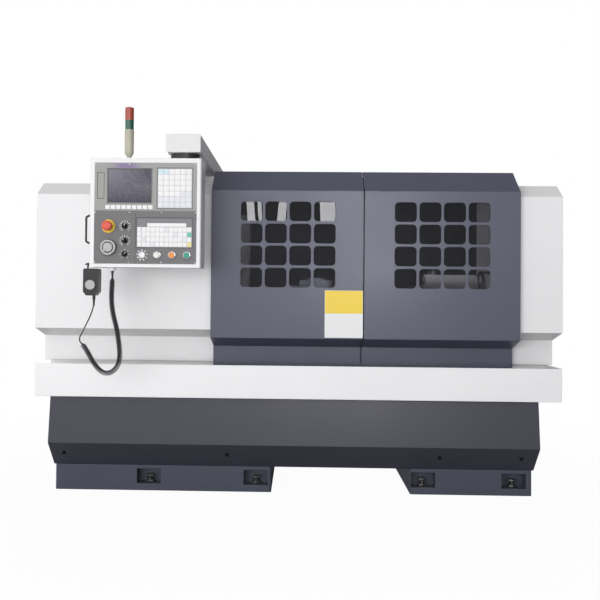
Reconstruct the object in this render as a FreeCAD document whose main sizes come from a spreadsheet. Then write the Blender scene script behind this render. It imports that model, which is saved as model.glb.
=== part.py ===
"""Flat-bed CNC turning lathe with a sliding-door guard and a swinging operator pendant.

Millimetres. +X runs from the headstock to the tailstock, +Y from the operator to the rear,
+Z up. The origin is on the floor, under the middle of the machine's box.
The spindle axis runs along X at Y 0.
"""
import FreeCAD, Part
import math
import os
import re

import Sketcher
from FreeCAD import Rotation, Vector

doc = FreeCAD.newDocument("turning_lathe")
sheet = doc.addObject("Spreadsheet::Sheet", "Sizes")
reader = doc.addObject("App::FeaturePython", "reader")
nodes = {}


# ---------------------------------------------------------------- sheet and expressions

def fill_sheet():
    """Every driving dimension in a row of its own: its name, and a plain number."""
    for row, (alias, value) in enumerate(SIZES.items(), 1):
        sheet.set("A%d" % row, alias)
        sheet.set("B%d" % row, str(value))
        sheet.setAlias("B%d" % row, alias)


def bound(text):
    """Write an expression on the sheet's cells out in full."""
    def word(found):
        name = found.group(0)
        if name in PLACES:
            return "(" + bound(PLACES[name]) + ")"
        return "Sizes." + name if name in SIZES else name
    return re.sub(r"[A-Za-z_]\w*", word, str(text))


def number(text):
    """What an expression on the sheet comes to."""
    return float(reader.evalExpression(bound(text)))


def bind(thing, **properties):
    for name, text in properties.items():
        thing.setExpression(name.replace("_", "."), bound(text))


def put(thing, x, y, z):
    thing.Placement.Base = Vector(number(x), number(y), number(z))
    bind(thing, Placement_Base_x=x, Placement_Base_y=y, Placement_Base_z=z)


# ---------------------------------------------------------------- sketches

def pin(sketch, edge, end, x, y):
    """Hold one end of an edge at a place of the sheet."""
    for kind, text in (("DistanceX", x), ("DistanceY", y)):
        rule = sketch.addConstraint(Sketcher.Constraint(kind, -1, 1, edge, end, number(text)))
        sketch.setExpression("Constraints[%d]" % rule, bound(text))


def draw_path(sketch, points, closed=True):
    """Straight edges through the points."""
    spots = [Vector(number(x), number(y), 0) for x, y in points]
    first = sketch.GeometryCount
    count = len(points) if closed else len(points) - 1
    for edge in range(count):
        following = spots[(edge + 1) % len(spots)]
        sketch.addGeometry(Part.LineSegment(spots[edge], following), False)
        if edge:
            sketch.addConstraint(
                Sketcher.Constraint("Coincident", first + edge - 1, 2, first + edge, 1))
        pin(sketch, first + edge, 1, *points[edge])
    if closed:
        sketch.addConstraint(Sketcher.Constraint("Coincident", first + count - 1, 2, first, 1))
    else:
        pin(sketch, first + count - 1, 2, *points[-1])


def draw_circle(sketch, x, y, radius):
    edge = sketch.addGeometry(
        Part.Circle(Vector(number(x), number(y), 0), Vector(0, 0, 1), number(radius)), False)
    pin(sketch, edge, 3, x, y)
    rule = sketch.addConstraint(Sketcher.Constraint("Radius", edge, number(radius)))
    sketch.setExpression("Constraints[%d]" % rule, bound(radius))


# ---------------------------------------------------------------- bodies and features

def new_body(label):
    body = doc.addObject("PartDesign::Body", label)
    body.Label = label
    return body


def sketch_across(body, axis, at="0"):
    """A sketch square to a row axis: (Y, Z) across X, (X, Z) across Y, (X, Y) across Z."""
    plane = {"X": "YZ_Plane", "Y": "XZ_Plane", "Z": "XY_Plane"}[axis]
    sketch = body.newObject("Sketcher::SketchObject", body.Name + "_sketch")
    face = [item for item in body.Origin.OriginFeatures if item.Role == plane][0]
    sketch.AttachmentSupport = [(face, "")]
    sketch.MapMode = "FlatFace"
    offset = "-(%s)" % at if axis == "Y" else at
    sketch.setExpression("AttachmentOffset.Base.z", bound(offset))
    return sketch


def grow(body, kind, sketch, axis, length):
    """Pad or Pocket from the sketch towards the positive row axis."""
    feature = body.newObject("PartDesign::" + kind, body.Name + "_" + kind.lower())
    feature.Profile = sketch
    feature.Reversed = (axis == "Y") == (kind == "Pad")
    bind(feature, Length=length)
    sketch.Visibility = False
    body.Tip = feature
    return feature


def pad(body, axis, at, length, points):
    sketch = sketch_across(body, axis, at)
    draw_path(sketch, points)
    return grow(body, "Pad", sketch, axis, length)


def pocket(body, axis, at, length, points):
    sketch = sketch_across(body, axis, at)
    draw_path(sketch, points)
    return grow(body, "Pocket", sketch, axis, length)


def box_points(left, low, right, high):
    return [(left, low), (right, low), (right, high), (left, high)]


def bore(body, axis, at, length, x, y, radius):
    sketch = sketch_across(body, axis, at)
    draw_circle(sketch, x, y, radius)
    return grow(body, "Pocket", sketch, axis, length)


def repeat(body, feature, steps):
    """Linear patterns of one feature: steps of (sketch axis, pitch, number)."""
    pattern = body.newObject("PartDesign::MultiTransform", body.Name + "_pattern")
    pattern.Originals = [feature]
    rows = []
    for direction, pitch, copies in steps:
        row = doc.addObject("PartDesign::LinearPattern", body.Name + "_row")
        row.Direction = (feature.Profile[0], [direction])
        row.Occurrences = int(number(copies))
        bind(row, Length="(%s) * ((%s) - 1)" % (pitch, copies))
        rows.append(row)
    pattern.Transformations = rows
    body.Tip = pattern
    return pattern


def around(body, feature, copies):
    """A full ring of one feature about the normal of its sketch."""
    pattern = body.newObject("PartDesign::PolarPattern", body.Name + "_ring")
    pattern.Originals = [feature]
    pattern.Axis = (feature.Profile[0], ["N_Axis"])
    pattern.Angle = 360
    pattern.Occurrences = int(number(copies))
    body.Tip = pattern
    return pattern


def edges_along(shape, direction, keep=lambda middle: True):
    """Names of the straight edges that run along a direction."""
    names = []
    for index, edge in enumerate(shape.Edges):
        if edge.Curve.TypeId != "Part::GeomLine":
            continue
        run = edge.Vertexes[-1].Point - edge.Vertexes[0].Point
        if run.cross(direction).Length < 1e-6 * run.Length and keep(edge.CenterOfMass):
            names.append("Edge%d" % (index + 1))
    return names


def soften(body, radius, direction, keep=lambda middle: True):
    """Round the body's edges that run along a direction."""
    doc.recompute()
    base = body.Tip
    fillet = body.newObject("PartDesign::Fillet", body.Name + "_fillet")
    fillet.Base = (base, edges_along(base.Shape, direction, keep))
    bind(fillet, Radius=radius)
    body.Tip = fillet
    return fillet


AXES = {"X": Rotation(), "Y": Rotation(Vector(0, 0, 1), 90), "Z": Rotation(Vector(0, 1, 0), -90)}


def turned(label, axis, start, profile):
    """A turned piece: (distance, radius) points revolved about a row axis from start."""
    body = new_body(label)
    sketch = sketch_across(body, "Y")
    draw_path(sketch, profile)
    turn = body.newObject("PartDesign::Revolution", label + "_turn")
    turn.Profile = sketch
    turn.ReferenceAxis = (sketch, ["H_Axis"])
    turn.Angle = 360
    body.Tip = turn
    body.Placement.Rotation = AXES[axis]
    put(body, *start)
    return body


# ---------------------------------------------------------------- primitives and booleans

def block(label, low, high):
    """A box between two opposite corners."""
    box = doc.addObject("Part::Box", label)
    bind(box, Length="(%s) - (%s)" % (high[0], low[0]), Width="(%s) - (%s)" % (high[1], low[1]),
         Height="(%s) - (%s)" % (high[2], low[2]))
    put(box, *low)
    return box


def rod(label, axis, start, radius, length):
    cylinder = doc.addObject("Part::Cylinder", label)
    bind(cylinder, Radius=radius, Height=length)
    turn = {"X": Rotation(Vector(0, 1, 0), 90), "Y": Rotation(Vector(1, 0, 0), -90), "Z": Rotation()}
    cylinder.Placement.Rotation = turn[axis]
    put(cylinder, *start)
    return cylinder


def hexagon(label, start, radius, height):
    prism = doc.addObject("Part::Prism", label)
    prism.Polygon = 6
    bind(prism, Circumradius=radius, Height=height)
    put(prism, *start)
    return prism


def join(label, *pieces):
    fuse = doc.addObject("Part::MultiFuse", label)
    fuse.Shapes = list(pieces)
    fuse.Refine = True
    return fuse


def group(label, *pieces):
    compound = doc.addObject("Part::Compound", label)
    compound.Links = list(pieces)
    return compound


def cut(label, base, *tools):
    tool = tools[0] if len(tools) == 1 else join(label + "_tools", *tools)
    result = doc.addObject("Part::Cut", label)
    result.Base = base
    result.Tool = tool
    result.Refine = True
    return result


def rounded(label, base, radius, direction, keep=lambda middle: True):
    doc.recompute()
    fillet = doc.addObject("Part::Fillet", label)
    fillet.Base = base
    span = number(radius)
    names = edges_along(base.Shape, direction, keep)
    fillet.Edges = [(int(name[4:]), span, span) for name in names]
    return fillet


def section_across_x(label, points, closed):
    """A sketch in the (Y, Z) plane, with no body around it."""
    sketch = doc.addObject("Sketcher::SketchObject", label)
    sketch.Placement.Rotation = Rotation(Vector(0, 1, 0), Vector(0, 0, 1), Vector(1, 0, 0), "ZXY")
    draw_path(sketch, points, closed)
    return sketch


def extrude_x(label, profile, start, length):
    solid = doc.addObject("Part::Extrusion", label)
    solid.Base = profile
    solid.DirMode = "Custom"
    solid.Dir = Vector(1, 0, 0)
    solid.Solid = True
    bind(solid, LengthFwd=length)
    put(solid, start, "0", "0")
    return solid


def folded(label, points, skin, start, length):
    """Sheet metal folded along a path in (Y, Z); its thickness lies left of the path's way."""
    path = section_across_x(label + "_path", points, False)
    strip = doc.addObject("Part::Offset2D", label + "_strip")
    strip.Source = path
    strip.Mode = "Skin"
    strip.Join = "Intersection"
    strip.Fill = True
    bind(strip, Value="-(%s)" % skin)
    return extrude_x(label, strip, start, length)


def plate_across_x(label, points, start, length):
    return extrude_x(label, section_across_x(label + "_outline", points, True), start, length)


def node(name, thing):
    """A finished piece of the machine."""
    thing.Label = name
    nodes[name] = thing
    return thing


# ---------------------------------------------------------------- driving dimensions

# An inset is measured inwards from the end or edge of the piece around, a drop downwards from the
# piece above, and a rise upwards from the piece below.
SIZES = {
    "play": 0.3,                # between pieces that pass each other
    "fit": 0.05,                # radial clearance of a running fit
    "tray_half_length": 1275,   # the length of the machine follows from its tray
    "rear_reach": 823,          # from the spindle axis to the rear-most face
    "spindle_height": 1030,
    "centre_height": 250,       # from the ways up to the spindle axis

    # cast pedestals and their feet
    "pedestal_depth": 750,
    "pedestal_height": 477,
    "left_pedestal_inset": 74,
    "left_pedestal_length": 1080,
    "right_pedestal_inset": 110,
    "right_pedestal_length": 598,
    "casting_round": 12,
    "foot_width": 120,
    "foot_low": 34,
    "foot_opening": 74,
    "foot_depth": 70,
    "foot_in": 38,
    "left_foot_inset": 469,
    "left_foot_pitch": 534,
    "right_foot_inset": 64,
    "right_foot_pitch": 446,
    "anchor_hole": 11,
    "anchor_shift": 39,
    "jack_radius": 12,
    "jack_hex": 20,
    "jack_nut": 12,
    "jack_rise": 28,

    # folded front skirt
    "skirt_left_inset": 68,
    "skirt_right_inset": 103,
    "skirt_skin": 3,
    "skirt_top_inset": 28,
    "skirt_proud": 2,
    "skirt_fold": 251,
    "skirt_foot": 126,
    "skirt_hem": 40,

    # chip tray
    "trough_width": 235,
    "tray_rear_overhang": 25,
    "tray_height": 160,
    "tray_skin": 3,
    "upstand_gap": 71,

    # cast bed
    "bed_left_inset": 165,
    "bed_right_inset": 185,
    "bed_foot_half": 170,
    "bed_wall_half": 150,
    "bed_wall": 40,
    "way_half": 172,
    "way_inner": 88,
    "way_depth": 65,
    "vee_centre": -135,
    "vee_half": 20,
    "vee_rise": 17,
    "bed_web_drop": 80,
    "bed_flange": 25,
    "bed_rib": 25,
    "bed_bays": 6,

    # headstock
    "headstock_inset": 20,
    "headstock_length": 610,
    "headstock_half": 185,
    "headstock_rise": 185,
    "headstock_round": 28,
    "bearing_bore": 75,
    "front_bearing_length": 60,
    "rear_bearing_length": 50,
    "bearing_cap_radius": 105,
    "bearing_cap": 10,

    # spindle, chuck and pulleys
    "spindle_radius": 55,
    "spindle_bore": 26,
    "nose_radius": 85,
    "nose_thickness": 15,
    "nose_gap": 5,
    "spindle_tail_radius": 40,
    "spindle_tail": 82,
    "chuck_radius": 125,
    "chuck_thickness": 88,
    "chuck_bore": 30,
    "jaw_width": 34,
    "jaw_slot_depth": 30,
    "jaw_inner": 46,
    "jaw_outer": 118,
    "jaw_height": 44,
    "jaw_step": 22,
    "pulley_stand_off": 115,
    "pulley_width": 50,
    "spindle_pulley_radius": 100,
    "motor_pulley_radius": 55,
    "pulley_rim": 4,
    "pulley_flange": 6,
    "pulley_end_gap": 7,
    "belt_thickness": 6,

    # main motor
    "motor_y": 285,
    "motor_rise": 126,
    "motor_shaft_reach": 125,
    "motor_length": 370,
    "motor_radius": 100,
    "motor_cowl_radius": 106,
    "motor_cowl": 70,
    "motor_fin": 8,
    "motor_fins": 24,
    "motor_shaft": 21,
    "motor_bore_depth": 25,
    "motor_foot_half": 95,
    "motor_foot_length": 60,

    # covers of the headstock end and the tailstock end
    "cover_skin": 2.5,
    "cover_overhang": 23,
    "cover_lap": 24,
    "cover_bulge": 150,
    "cover_roof_inset": 92,
    "cover_rear_lap": 20,
    "cover_lower_height": 125,
    "cover_lower_slope": 44,
    "cover_face_height": 667,
    "cover_roof_slope": 66,
    "cover_hem": 29,
    "bar_hole": 60,
    "door_lap": 10,

    # sliding doors
    "door_from_headstock": 56,
    "left_door_length": 749,
    "right_door_length": 760,
    "door_gap": 4,
    "door_skin": 2.5,
    "door_band": 20,
    "door_stand_off": 28,
    "door_lower_stand_off": 40,
    "door_fold_drop": 38,
    "door_face_rise": 20,
    "door_lower_drop": 42,
    "door_foot_gap": 12,
    "door_hang": 18,
    "door_top_depth": 92,
    "left_pane_inset": 145,
    "right_pane_inset": 150,
    "pane_drop": 55,
    "pane_width": 106,
    "pane_height": 95,
    "pane_bar": 13.5,
    "pane_round": 20,
    "pane_columns": 4,
    "pane_rows": 4,
    "window_lap": 15,
    "window_thickness": 5,

    # door rails and glides
    "rail_left_inset": 223,
    "rail_set_back": 39,
    "rail_thickness": 8,
    "rail_foot": 6,
    "rail_rise": 51,
    "guide_back_gap": 13,
    "guide_front_gap": 15,
    "guide_lip": 4,
    "guide_drop": 97,
    "guide_rise": 30,
    "glide_wall": 16,
    "glide_length": 60,
    "glide_inset": 110,
    "right_glide_inset": 215,

    # rear guard
    "guard_set_back": 35,
    "guard_lip": 24,

    # saddle, cross slide and turret
    "carriage_x": 100,
    "saddle_half_length": 160,
    "saddle_overhang": 68,
    "saddle_thickness": 55,
    "apron_gap": 12,
    "apron_under": 45,
    "screw_out": 38,
    "screw_rise": 63,
    "screw_radius": 16,
    "screw_journal": 12,
    "screw_from_headstock": 150,
    "screw_bracket": 40,
    "screw_block_half": 26,
    "dovetail_half_top": 75,
    "dovetail_half_low": 60,
    "dovetail_rise": 25,
    "channel_half": 22,
    "slide_half_length": 110,
    "slide_overhang": 10,
    "slide_travel_length": 310,
    "slide_plate": 32,
    "cross_screw_radius": 8,
    "cross_journal": 6,
    "cross_nut_half": 14,
    "turret_inset": 100,
    "turret_base_radius": 85,
    "turret_drop": 84.7,
    "turret_half": 90,
    "turret_height": 112,
    "turret_post": 25,
    "tool_size": 20,
    "tool_stick_out": 45,
    "servo_half": 40,
    "servo_length": 130,
    "servo_flange": 12,

    # tailstock
    "tailstock_inset": 370,
    "tailstock_length": 250,
    "tailstock_foot_half": 165,
    "tailstock_foot_rise": 70,
    "tailstock_neck_half": 88,
    "barrel_radius": 68,
    "barrel_overhang": 30,
    "quill_radius": 35,
    "quill_length": 240,
    "quill_out": 40,
    "centre_length": 60,
    "centre_radius": 24,
    "wheel_radius": 90,
    "wheel_rim": 9,
    "wheel_shaft": 14,
    "wheel_gap": 30,
    "wheel_hub": 26,
    "crank_length": 55,
    "lever_radius": 7,
    "lever_reach": 95,
    "lever_hub": 14,

    # electrical cabinet on the rear
    "cabinet_inset": 45,
    "cabinet_length": 900,
    "cabinet_height": 1023,
    "cabinet_skin": 2.5,
    "cabinet_door_depth": 20,
    "cabinet_door_skin": 2,
    "switch_radius": 30,
    "switch_depth": 20,
    "hinge_pin": 4,
    "hinge_ring": 7,
    "hinge_out": 8,
    "hinge_length": 60,
    "drive_plate_gap": 20,

    # coolant tank behind the right pedestal
    "tank_overhang": 7,
    "tank_length": 560,
    "tank_gap": 45,
    "inlet_inset": 220,
    "tank_inlet_width": 120,
    "tank_depth": 380,
    "tank_top": 300,
    "tank_round": 14,
    "pump_inset": 450,
    "pump_radius": 62,
    "pump_height": 190,

    # boom and pendant
    "post_inset": 37,
    "pivot_y": 130,
    "post_radius": 56,
    "post_head": 70,
    "post_flange": 60,
    "arm_side": 79,
    "arm_width": 157,
    "arm_nose": 60,
    "arm_tail": 85,
    "arm_rise": 80,
    "arm_height": 82,
    "arm_round": 6,
    "arm_reach": 830,
    "swivel_pin": 28,
    "collar_radius": 66,
    "pendant_side": 416,
    "pendant_width": 502,
    "pendant_nose": 78,
    "pendant_depth": 140,
    "pendant_drop": 31,
    "pendant_height": 490,
    "pendant_round": 10,
    "panel_inset": 22,
    "panel_width": 459,
    "panel_rise": 16,
    "panel_height": 453,
    "operator_panel_height": 238,
    "panel_sunk": 4,
    "panel_thickness": 6,
    "panel_joint": 2,

    # control unit: display, soft keys, keypad and port cover
    "screen_inset": 60,
    "screen_width": 196,
    "screen_drop": 28,
    "screen_height": 151,
    "recess": 2,
    "soft_key_inset": 51,
    "soft_key_row": 210,
    "soft_key_rise": 7,
    "soft_key_height": 16,
    "soft_keys": 9,
    "soft_key_bar": 5,
    "keypad_gap": 32,
    "keypad_width": 146,
    "keypad_rise": 16,
    "keypad_height": 169,
    "keypad_columns": 6,
    "keypad_rows": 7,
    "key_bar": 4,
    "key_rise": 1,
    "port_inset": 12,
    "port_width": 31,
    "port_rise": 52,
    "port_height": 118,
    "port_pin": 1.5,

    # operator panel
    "board_inset": 20,
    "board_width": 246,
    "board_rise": 75,
    "board_height": 129,
    "board_key_area": 88,
    "board_columns": 12,
    "board_rows": 4,
    "stop_inset": 65,
    "stop_rise": 167,
    "stop_proud": 43,
    "stop_radius": 23,
    "stop_ring": 30,
    "stop_height": 40,
    "stop_neck": 12,
    "stop_collar": 16,
    "press": 4,
    "pulse_inset": 66,
    "pulse_rise": 72,
    "pulse_radius": 36,
    "pulse_height": 16,
    "knob_inset": 139,
    "feed_knob_rise": 168,
    "speed_knob_rise": 103,
    "mode_knob_rise": 43,
    "knob_radius": 12,
    "knob_height": 18,
    "dial_radius": 17,
    "dial_height": 2,
    "button_rise": 39,
    "key_switch_inset": 217,
    "button_pitch": 67,
    "bezel_radius": 18,
    "bezel_height": 6,
    "button_radius": 13.5,
    "button_proud": 4,

    # handle, bracket, tower light, hand unit and cord on the pendant
    "bow_out": 34,
    "bow_radius": 4,
    "bow_slant": 16,
    "bow_rise": 102,
    "bow_length": 145,
    "bow_forward": 8,
    "bracket_rise": 10,
    "bracket_height": 48,
    "bracket_out": 28,
    "bracket_forward": 30,
    "tower_inset": 157,
    "tower_radius": 21,
    "tower_stem": 37,
    "tower_base": 106,
    "green_lens": 44,
    "red_lens": 60,
    "hook_out": 17,
    "hand_shift": 20,
    "hand_half_width": 35,
    "hand_half_depth": 25,
    "hand_drop": 16,
    "hand_height": 122,
    "hook_radius": 4,
    "hand_dial_radius": 24,
    "hand_dial_height": 11,
    "gland_inset": 95,
    "gland_radius": 16,
    "gland_length": 15,
    "lead_gland_shift": 9,
    "lead_gland_radius": 7,
    "lead_gland_length": 16,
    "coil_diameter": 25,
    "lead_diameter": 6,
}

# Where the pieces meet, worked out from the driving dimensions.
PLACES = {
    # pedestals, skirt and tray
    "pedestal_back": "pedestal_depth / 2",
    "left_pedestal_start": "left_pedestal_inset - tray_half_length",
    "right_pedestal_start": "tray_half_length - right_pedestal_inset - right_pedestal_length",
    "left_foot_one": "left_pedestal_start + left_foot_inset",
    "left_foot_two": "left_foot_one + left_foot_pitch",
    "right_foot_one": "right_pedestal_start + right_foot_inset",
    "right_foot_two": "right_foot_one + right_foot_pitch",
    "foot_high": "foot_low + foot_opening",
    "tray_bottom": "pedestal_height",
    "tray_floor": "tray_bottom + tray_skin",
    "tray_top": "tray_bottom + tray_height",
    "upstand_front": "-(way_half + upstand_gap)",
    "tray_front": "upstand_front - trough_width",
    "tray_back": "pedestal_back + tray_rear_overhang",
    "skirt_start": "skirt_left_inset - tray_half_length",
    "skirt_length": "2 * tray_half_length - skirt_left_inset - skirt_right_inset",
    "skirt_top_front": "tray_front + skirt_top_inset",
    "skirt_front": "tray_front - skirt_proud",

    # bed, headstock and drive
    "way_top": "spindle_height - centre_height",
    "bed_start": "bed_left_inset - tray_half_length",
    "bed_end": "tray_half_length - bed_right_inset",
    "bed_length": "bed_end - bed_start",
    "bed_web_top": "way_top - bed_web_drop",
    "headstock_start": "bed_start + headstock_inset",
    "headstock_end": "headstock_start + headstock_length",
    "headstock_top": "spindle_height + headstock_rise",
    "nose_start": "headstock_end + bearing_cap + nose_gap",
    "chuck_back": "nose_start + nose_thickness",
    "pulley_end": "headstock_start - pulley_stand_off",
    "pulley_start": "pulley_end - pulley_width",
    "motor_start": "pulley_start + motor_shaft_reach",
    "motor_z": "tray_floor + motor_rise",

    # covers, doors and rails
    "cover_half_length": "tray_half_length + cover_overhang",
    "cover_lower_front": "upstand_front - cover_lap",
    "cover_front": "cover_lower_front - cover_bulge",
    "cover_roof_front": "cover_front + cover_roof_inset",
    "cover_back": "tray_back + cover_rear_lap",
    "cover_lower_high": "tray_top + cover_lower_height",
    "cover_face_low": "cover_lower_high + cover_lower_slope",
    "cover_face_high": "cover_face_low + cover_face_height",
    "cover_roof": "cover_face_high + cover_roof_slope",
    "rail_top": "cover_roof + rail_rise",
    "guide_base": "tray_top - guide_drop",
    "door_left": "headstock_end + door_from_headstock",
    "door_seam": "door_left + left_door_length",
    "door_right": "door_seam + right_door_length",
    "door_front": "cover_front - door_stand_off",
    "door_lower_front": "cover_lower_front - door_lower_stand_off",
    "door_face_low": "cover_face_low - door_fold_drop",
    "door_face_high": "cover_face_high + door_face_rise",
    "door_lower_high": "cover_lower_high - door_lower_drop",
    "door_bottom": "guide_base + door_foot_gap",
    "door_top": "rail_top + door_hang",
    "door_return": "door_lower_front + door_top_depth",
    "pane_left": "door_left + left_pane_inset",
    "pane_right": "door_seam + right_pane_inset",
    "pane_top": "door_face_high - pane_drop",
    "rail_start": "rail_left_inset - cover_half_length",
    "rail_back": "door_return - rail_set_back",
    "guide_back_lip": "door_lower_front + guide_back_gap",
    "guide_front_lip": "door_lower_front - guide_front_gap",
    "guard_left": "door_left + door_lap",
    "guard_right": "door_right - door_lap",
    "guard_front": "cover_roof_front + guard_set_back",

    # saddle, cross slide, turret and tailstock
    "saddle_half_width": "way_half + saddle_overhang",
    "saddle_low": "way_top + play",
    "saddle_top": "way_top + saddle_thickness",
    "dovetail_top": "saddle_top + dovetail_rise",
    "cross_screw_z": "saddle_top + dovetail_rise / 2",
    "apron_back": "-(way_half + apron_gap)",
    "screw_y": "-(way_half + screw_out)",
    "screw_z": "tray_top + screw_rise",
    "apron_low": "screw_z - apron_under",
    "screw_start": "headstock_end + screw_from_headstock",
    "screw_end": "bed_end",
    "slide_top": "dovetail_top + slide_plate",
    "slide_front": "-(saddle_half_width + slide_overhang)",
    "slide_back": "slide_front + slide_travel_length",
    "turret_y": "slide_front + turret_inset",
    "turret_low": "spindle_height - turret_drop",
    "turret_base_height": "turret_low - play - slide_top",
    "turret_high": "turret_low + turret_height",
    "tailstock_start": "bed_end - tailstock_inset",
    "tailstock_end": "tailstock_start + tailstock_length",
    "tailstock_foot_top": "way_top + tailstock_foot_rise",

    # cabinet and tank
    "cabinet_left": "cabinet_inset - tray_half_length",
    "cabinet_right": "cabinet_left + cabinet_length",
    "cabinet_bottom": "tray_bottom",
    "cabinet_top": "cabinet_bottom + cabinet_height",
    "cabinet_door_back": "rear_reach - switch_depth",
    "cabinet_back": "cabinet_door_back - cabinet_door_depth - play",
    "hinge_x": "cabinet_left - hinge_out",
    "drive_plate_y": "cover_back + drive_plate_gap",
    "tank_start": "right_pedestal_start - tank_overhang",
    "tank_inlet": "tank_start + inlet_inset",
    "pump_x": "tank_start + pump_inset",

    # boom and pendant
    "pivot_x": "headstock_end - post_inset",
    "swivel_y": "pivot_y - arm_reach",
    "arm_left": "pivot_x - arm_side",
    "arm_right": "arm_left + arm_width",
    "arm_front": "swivel_y - arm_nose",
    "arm_back": "pivot_y + arm_tail",
    "arm_bottom": "cover_roof + arm_rise",
    "arm_top": "arm_bottom + arm_height",
    "pendant_left": "pivot_x - pendant_side",
    "pendant_right": "pendant_left + pendant_width",
    "pendant_front": "swivel_y - pendant_nose",
    "pendant_back": "pendant_front + pendant_depth",
    "pendant_top": "arm_bottom - pendant_drop",
    "pendant_bottom": "pendant_top - pendant_height",
    "panel_left": "pendant_left + panel_inset",
    "panel_right": "panel_left + panel_width",
    "panel_low": "pendant_bottom + panel_rise",
    "panel_high": "panel_low + panel_height",
    "panel_seam": "panel_low + operator_panel_height",
    "panel_face": "pendant_front + panel_sunk - panel_thickness",
    "panel_back": "pendant_front + panel_sunk",

    # front of the pendant
    "screen_left": "panel_left + screen_inset",
    "screen_right": "screen_left + screen_width",
    "screen_high": "panel_high - screen_drop",
    "screen_low": "screen_high - screen_height",
    "soft_key_left": "panel_left + soft_key_inset",
    "soft_key_right": "soft_key_left + soft_key_row",
    "soft_key_low": "panel_seam + soft_key_rise",
    "soft_key_high": "soft_key_low + soft_key_height",
    "keypad_left": "screen_right + keypad_gap",
    "keypad_right": "keypad_left + keypad_width",
    "keypad_low": "panel_seam + keypad_rise",
    "keypad_high": "keypad_low + keypad_height",
    "port_left": "panel_left + port_inset",
    "port_right": "port_left + port_width",
    "port_low": "panel_seam + port_rise",
    "port_high": "port_low + port_height",
    "board_right": "panel_right - board_inset",
    "board_left": "board_right - board_width",
    "board_low": "panel_low + board_rise",
    "board_high": "board_low + board_height",
    "board_key_high": "board_low + board_key_area",
    "stop_x": "panel_left + stop_inset",
    "stop_z": "panel_low + stop_rise",
    "pulse_x": "panel_left + pulse_inset",
    "pulse_z": "panel_low + pulse_rise",
    "knob_x": "panel_left + knob_inset",
    "feed_knob_z": "panel_low + feed_knob_rise",
    "speed_knob_z": "panel_low + speed_knob_rise",
    "mode_knob_z": "panel_low + mode_knob_rise",
    "button_z": "panel_low + button_rise",
    "key_switch_x": "panel_left + key_switch_inset",
    "white_button_x": "key_switch_x + button_pitch",
    "orange_button_x": "white_button_x + button_pitch",
    "green_button_x": "orange_button_x + button_pitch",

    # what hangs on the pendant
    "bow_y": "swivel_y - bow_forward",
    "bow_low": "pendant_bottom + bow_rise",
    "bow_high": "bow_low + bow_length",
    "bracket_y": "swivel_y - bracket_forward",
    "bracket_low": "pendant_bottom + bracket_rise",
    "bracket_high": "bracket_low + bracket_height",
    "tower_x": "pendant_left + tower_inset",
    "tower_y": "swivel_y",
    "tower_foot": "pendant_top + tower_stem",
    "tower_green": "tower_foot + tower_base",
    "tower_red": "tower_green + green_lens",
    "tower_top": "tower_red + red_lens",
    "hook_x": "pendant_left - hook_out",
    "hand_x": "hook_x + hand_shift",
    "hand_high": "bracket_low - hand_drop",
    "hand_low": "hand_high - hand_height",
    "gland_x": "pendant_left + gland_inset",
    "lead_gland_x": "hand_x + lead_gland_shift",
}


def vee_points(low, gap):
    """The notch that clears the prismatic front way, from front to back."""
    return [("vee_centre - vee_half - " + gap, low),
            ("vee_centre", "%s + vee_rise + %s" % (low, gap)),
            ("vee_centre + vee_half + " + gap, low)]


# ---------------------------------------------------------------- base

def pedestal(name, start, length, feet):
    """A cast pedestal with a pocket for each foot in its front and rear walls."""
    body = new_body(name)
    back = "pedestal_back"
    pad(body, "Z", "0", "tray_bottom",
        box_points(start, "-" + back, "%s + %s" % (start, length), back))
    soften(body, "casting_round", Vector(0, 0, 1))
    for foot in feet:
        left = "%s - foot_width / 2" % foot
        right = "%s + foot_width / 2" % foot
        for face in ("-" + back, back + " - foot_depth"):
            pocket(body, "Y", face, "foot_depth", box_points(left, "foot_low", right, "foot_high"))
        for row in ("-%s + foot_in" % back, back + " - foot_in"):
            bore(body, "Z", "0", "foot_low", foot + " + anchor_shift", row, "anchor_hole")
            bore(body, "Z", "0", "foot_low", foot, row, "jack_radius + fit")
    return node(name, body)


def levelling_screws():
    """Jack screws with a lock nut, one in each foot pocket, standing on the floor."""
    screws = []
    for foot in ("left_foot_one", "left_foot_two", "right_foot_one", "right_foot_two"):
        for row in ("foot_in - pedestal_back", "pedestal_back - foot_in"):
            spot = (foot, row)
            shank = rod("jack_shank", "Z", spot + ("0",), "jack_radius", "foot_low + jack_rise")
            nut = hexagon("jack_nut", spot + ("foot_low",), "jack_hex", "jack_nut")
            head = hexagon("jack_head", spot + ("foot_low + jack_rise",), "jack_hex", "jack_nut")
            screws.append(join("jack_screw", shank, nut, head))
    return node("levelling_screws", group("levelling_screws", *screws))


def front_skirt():
    """Sheet skirt under the tray: it leans out, then slopes back to the pedestals."""
    front = "-pedestal_back"
    hem = "skirt_top_front + skirt_hem"
    sheet_part = folded("skirt_sheet", [
        (hem, "tray_bottom"), ("skirt_top_front", "tray_bottom"), ("skirt_front", "skirt_fold"),
        (front, "skirt_foot"), (front, "skirt_foot + skirt_hem")],
        "skirt_skin", "skirt_start", "skirt_length")
    side = [("skirt_top_front", "tray_bottom"), ("skirt_front", "skirt_fold"),
            (front, "skirt_foot"), (front, "tray_bottom")]
    left = plate_across_x("skirt_left", side, "skirt_start", "skirt_skin")
    right = plate_across_x("skirt_right", side, "skirt_start + skirt_length - skirt_skin",
                           "skirt_skin")
    return node("front_skirt", join("front_skirt", sheet_part, left, right))


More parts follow.
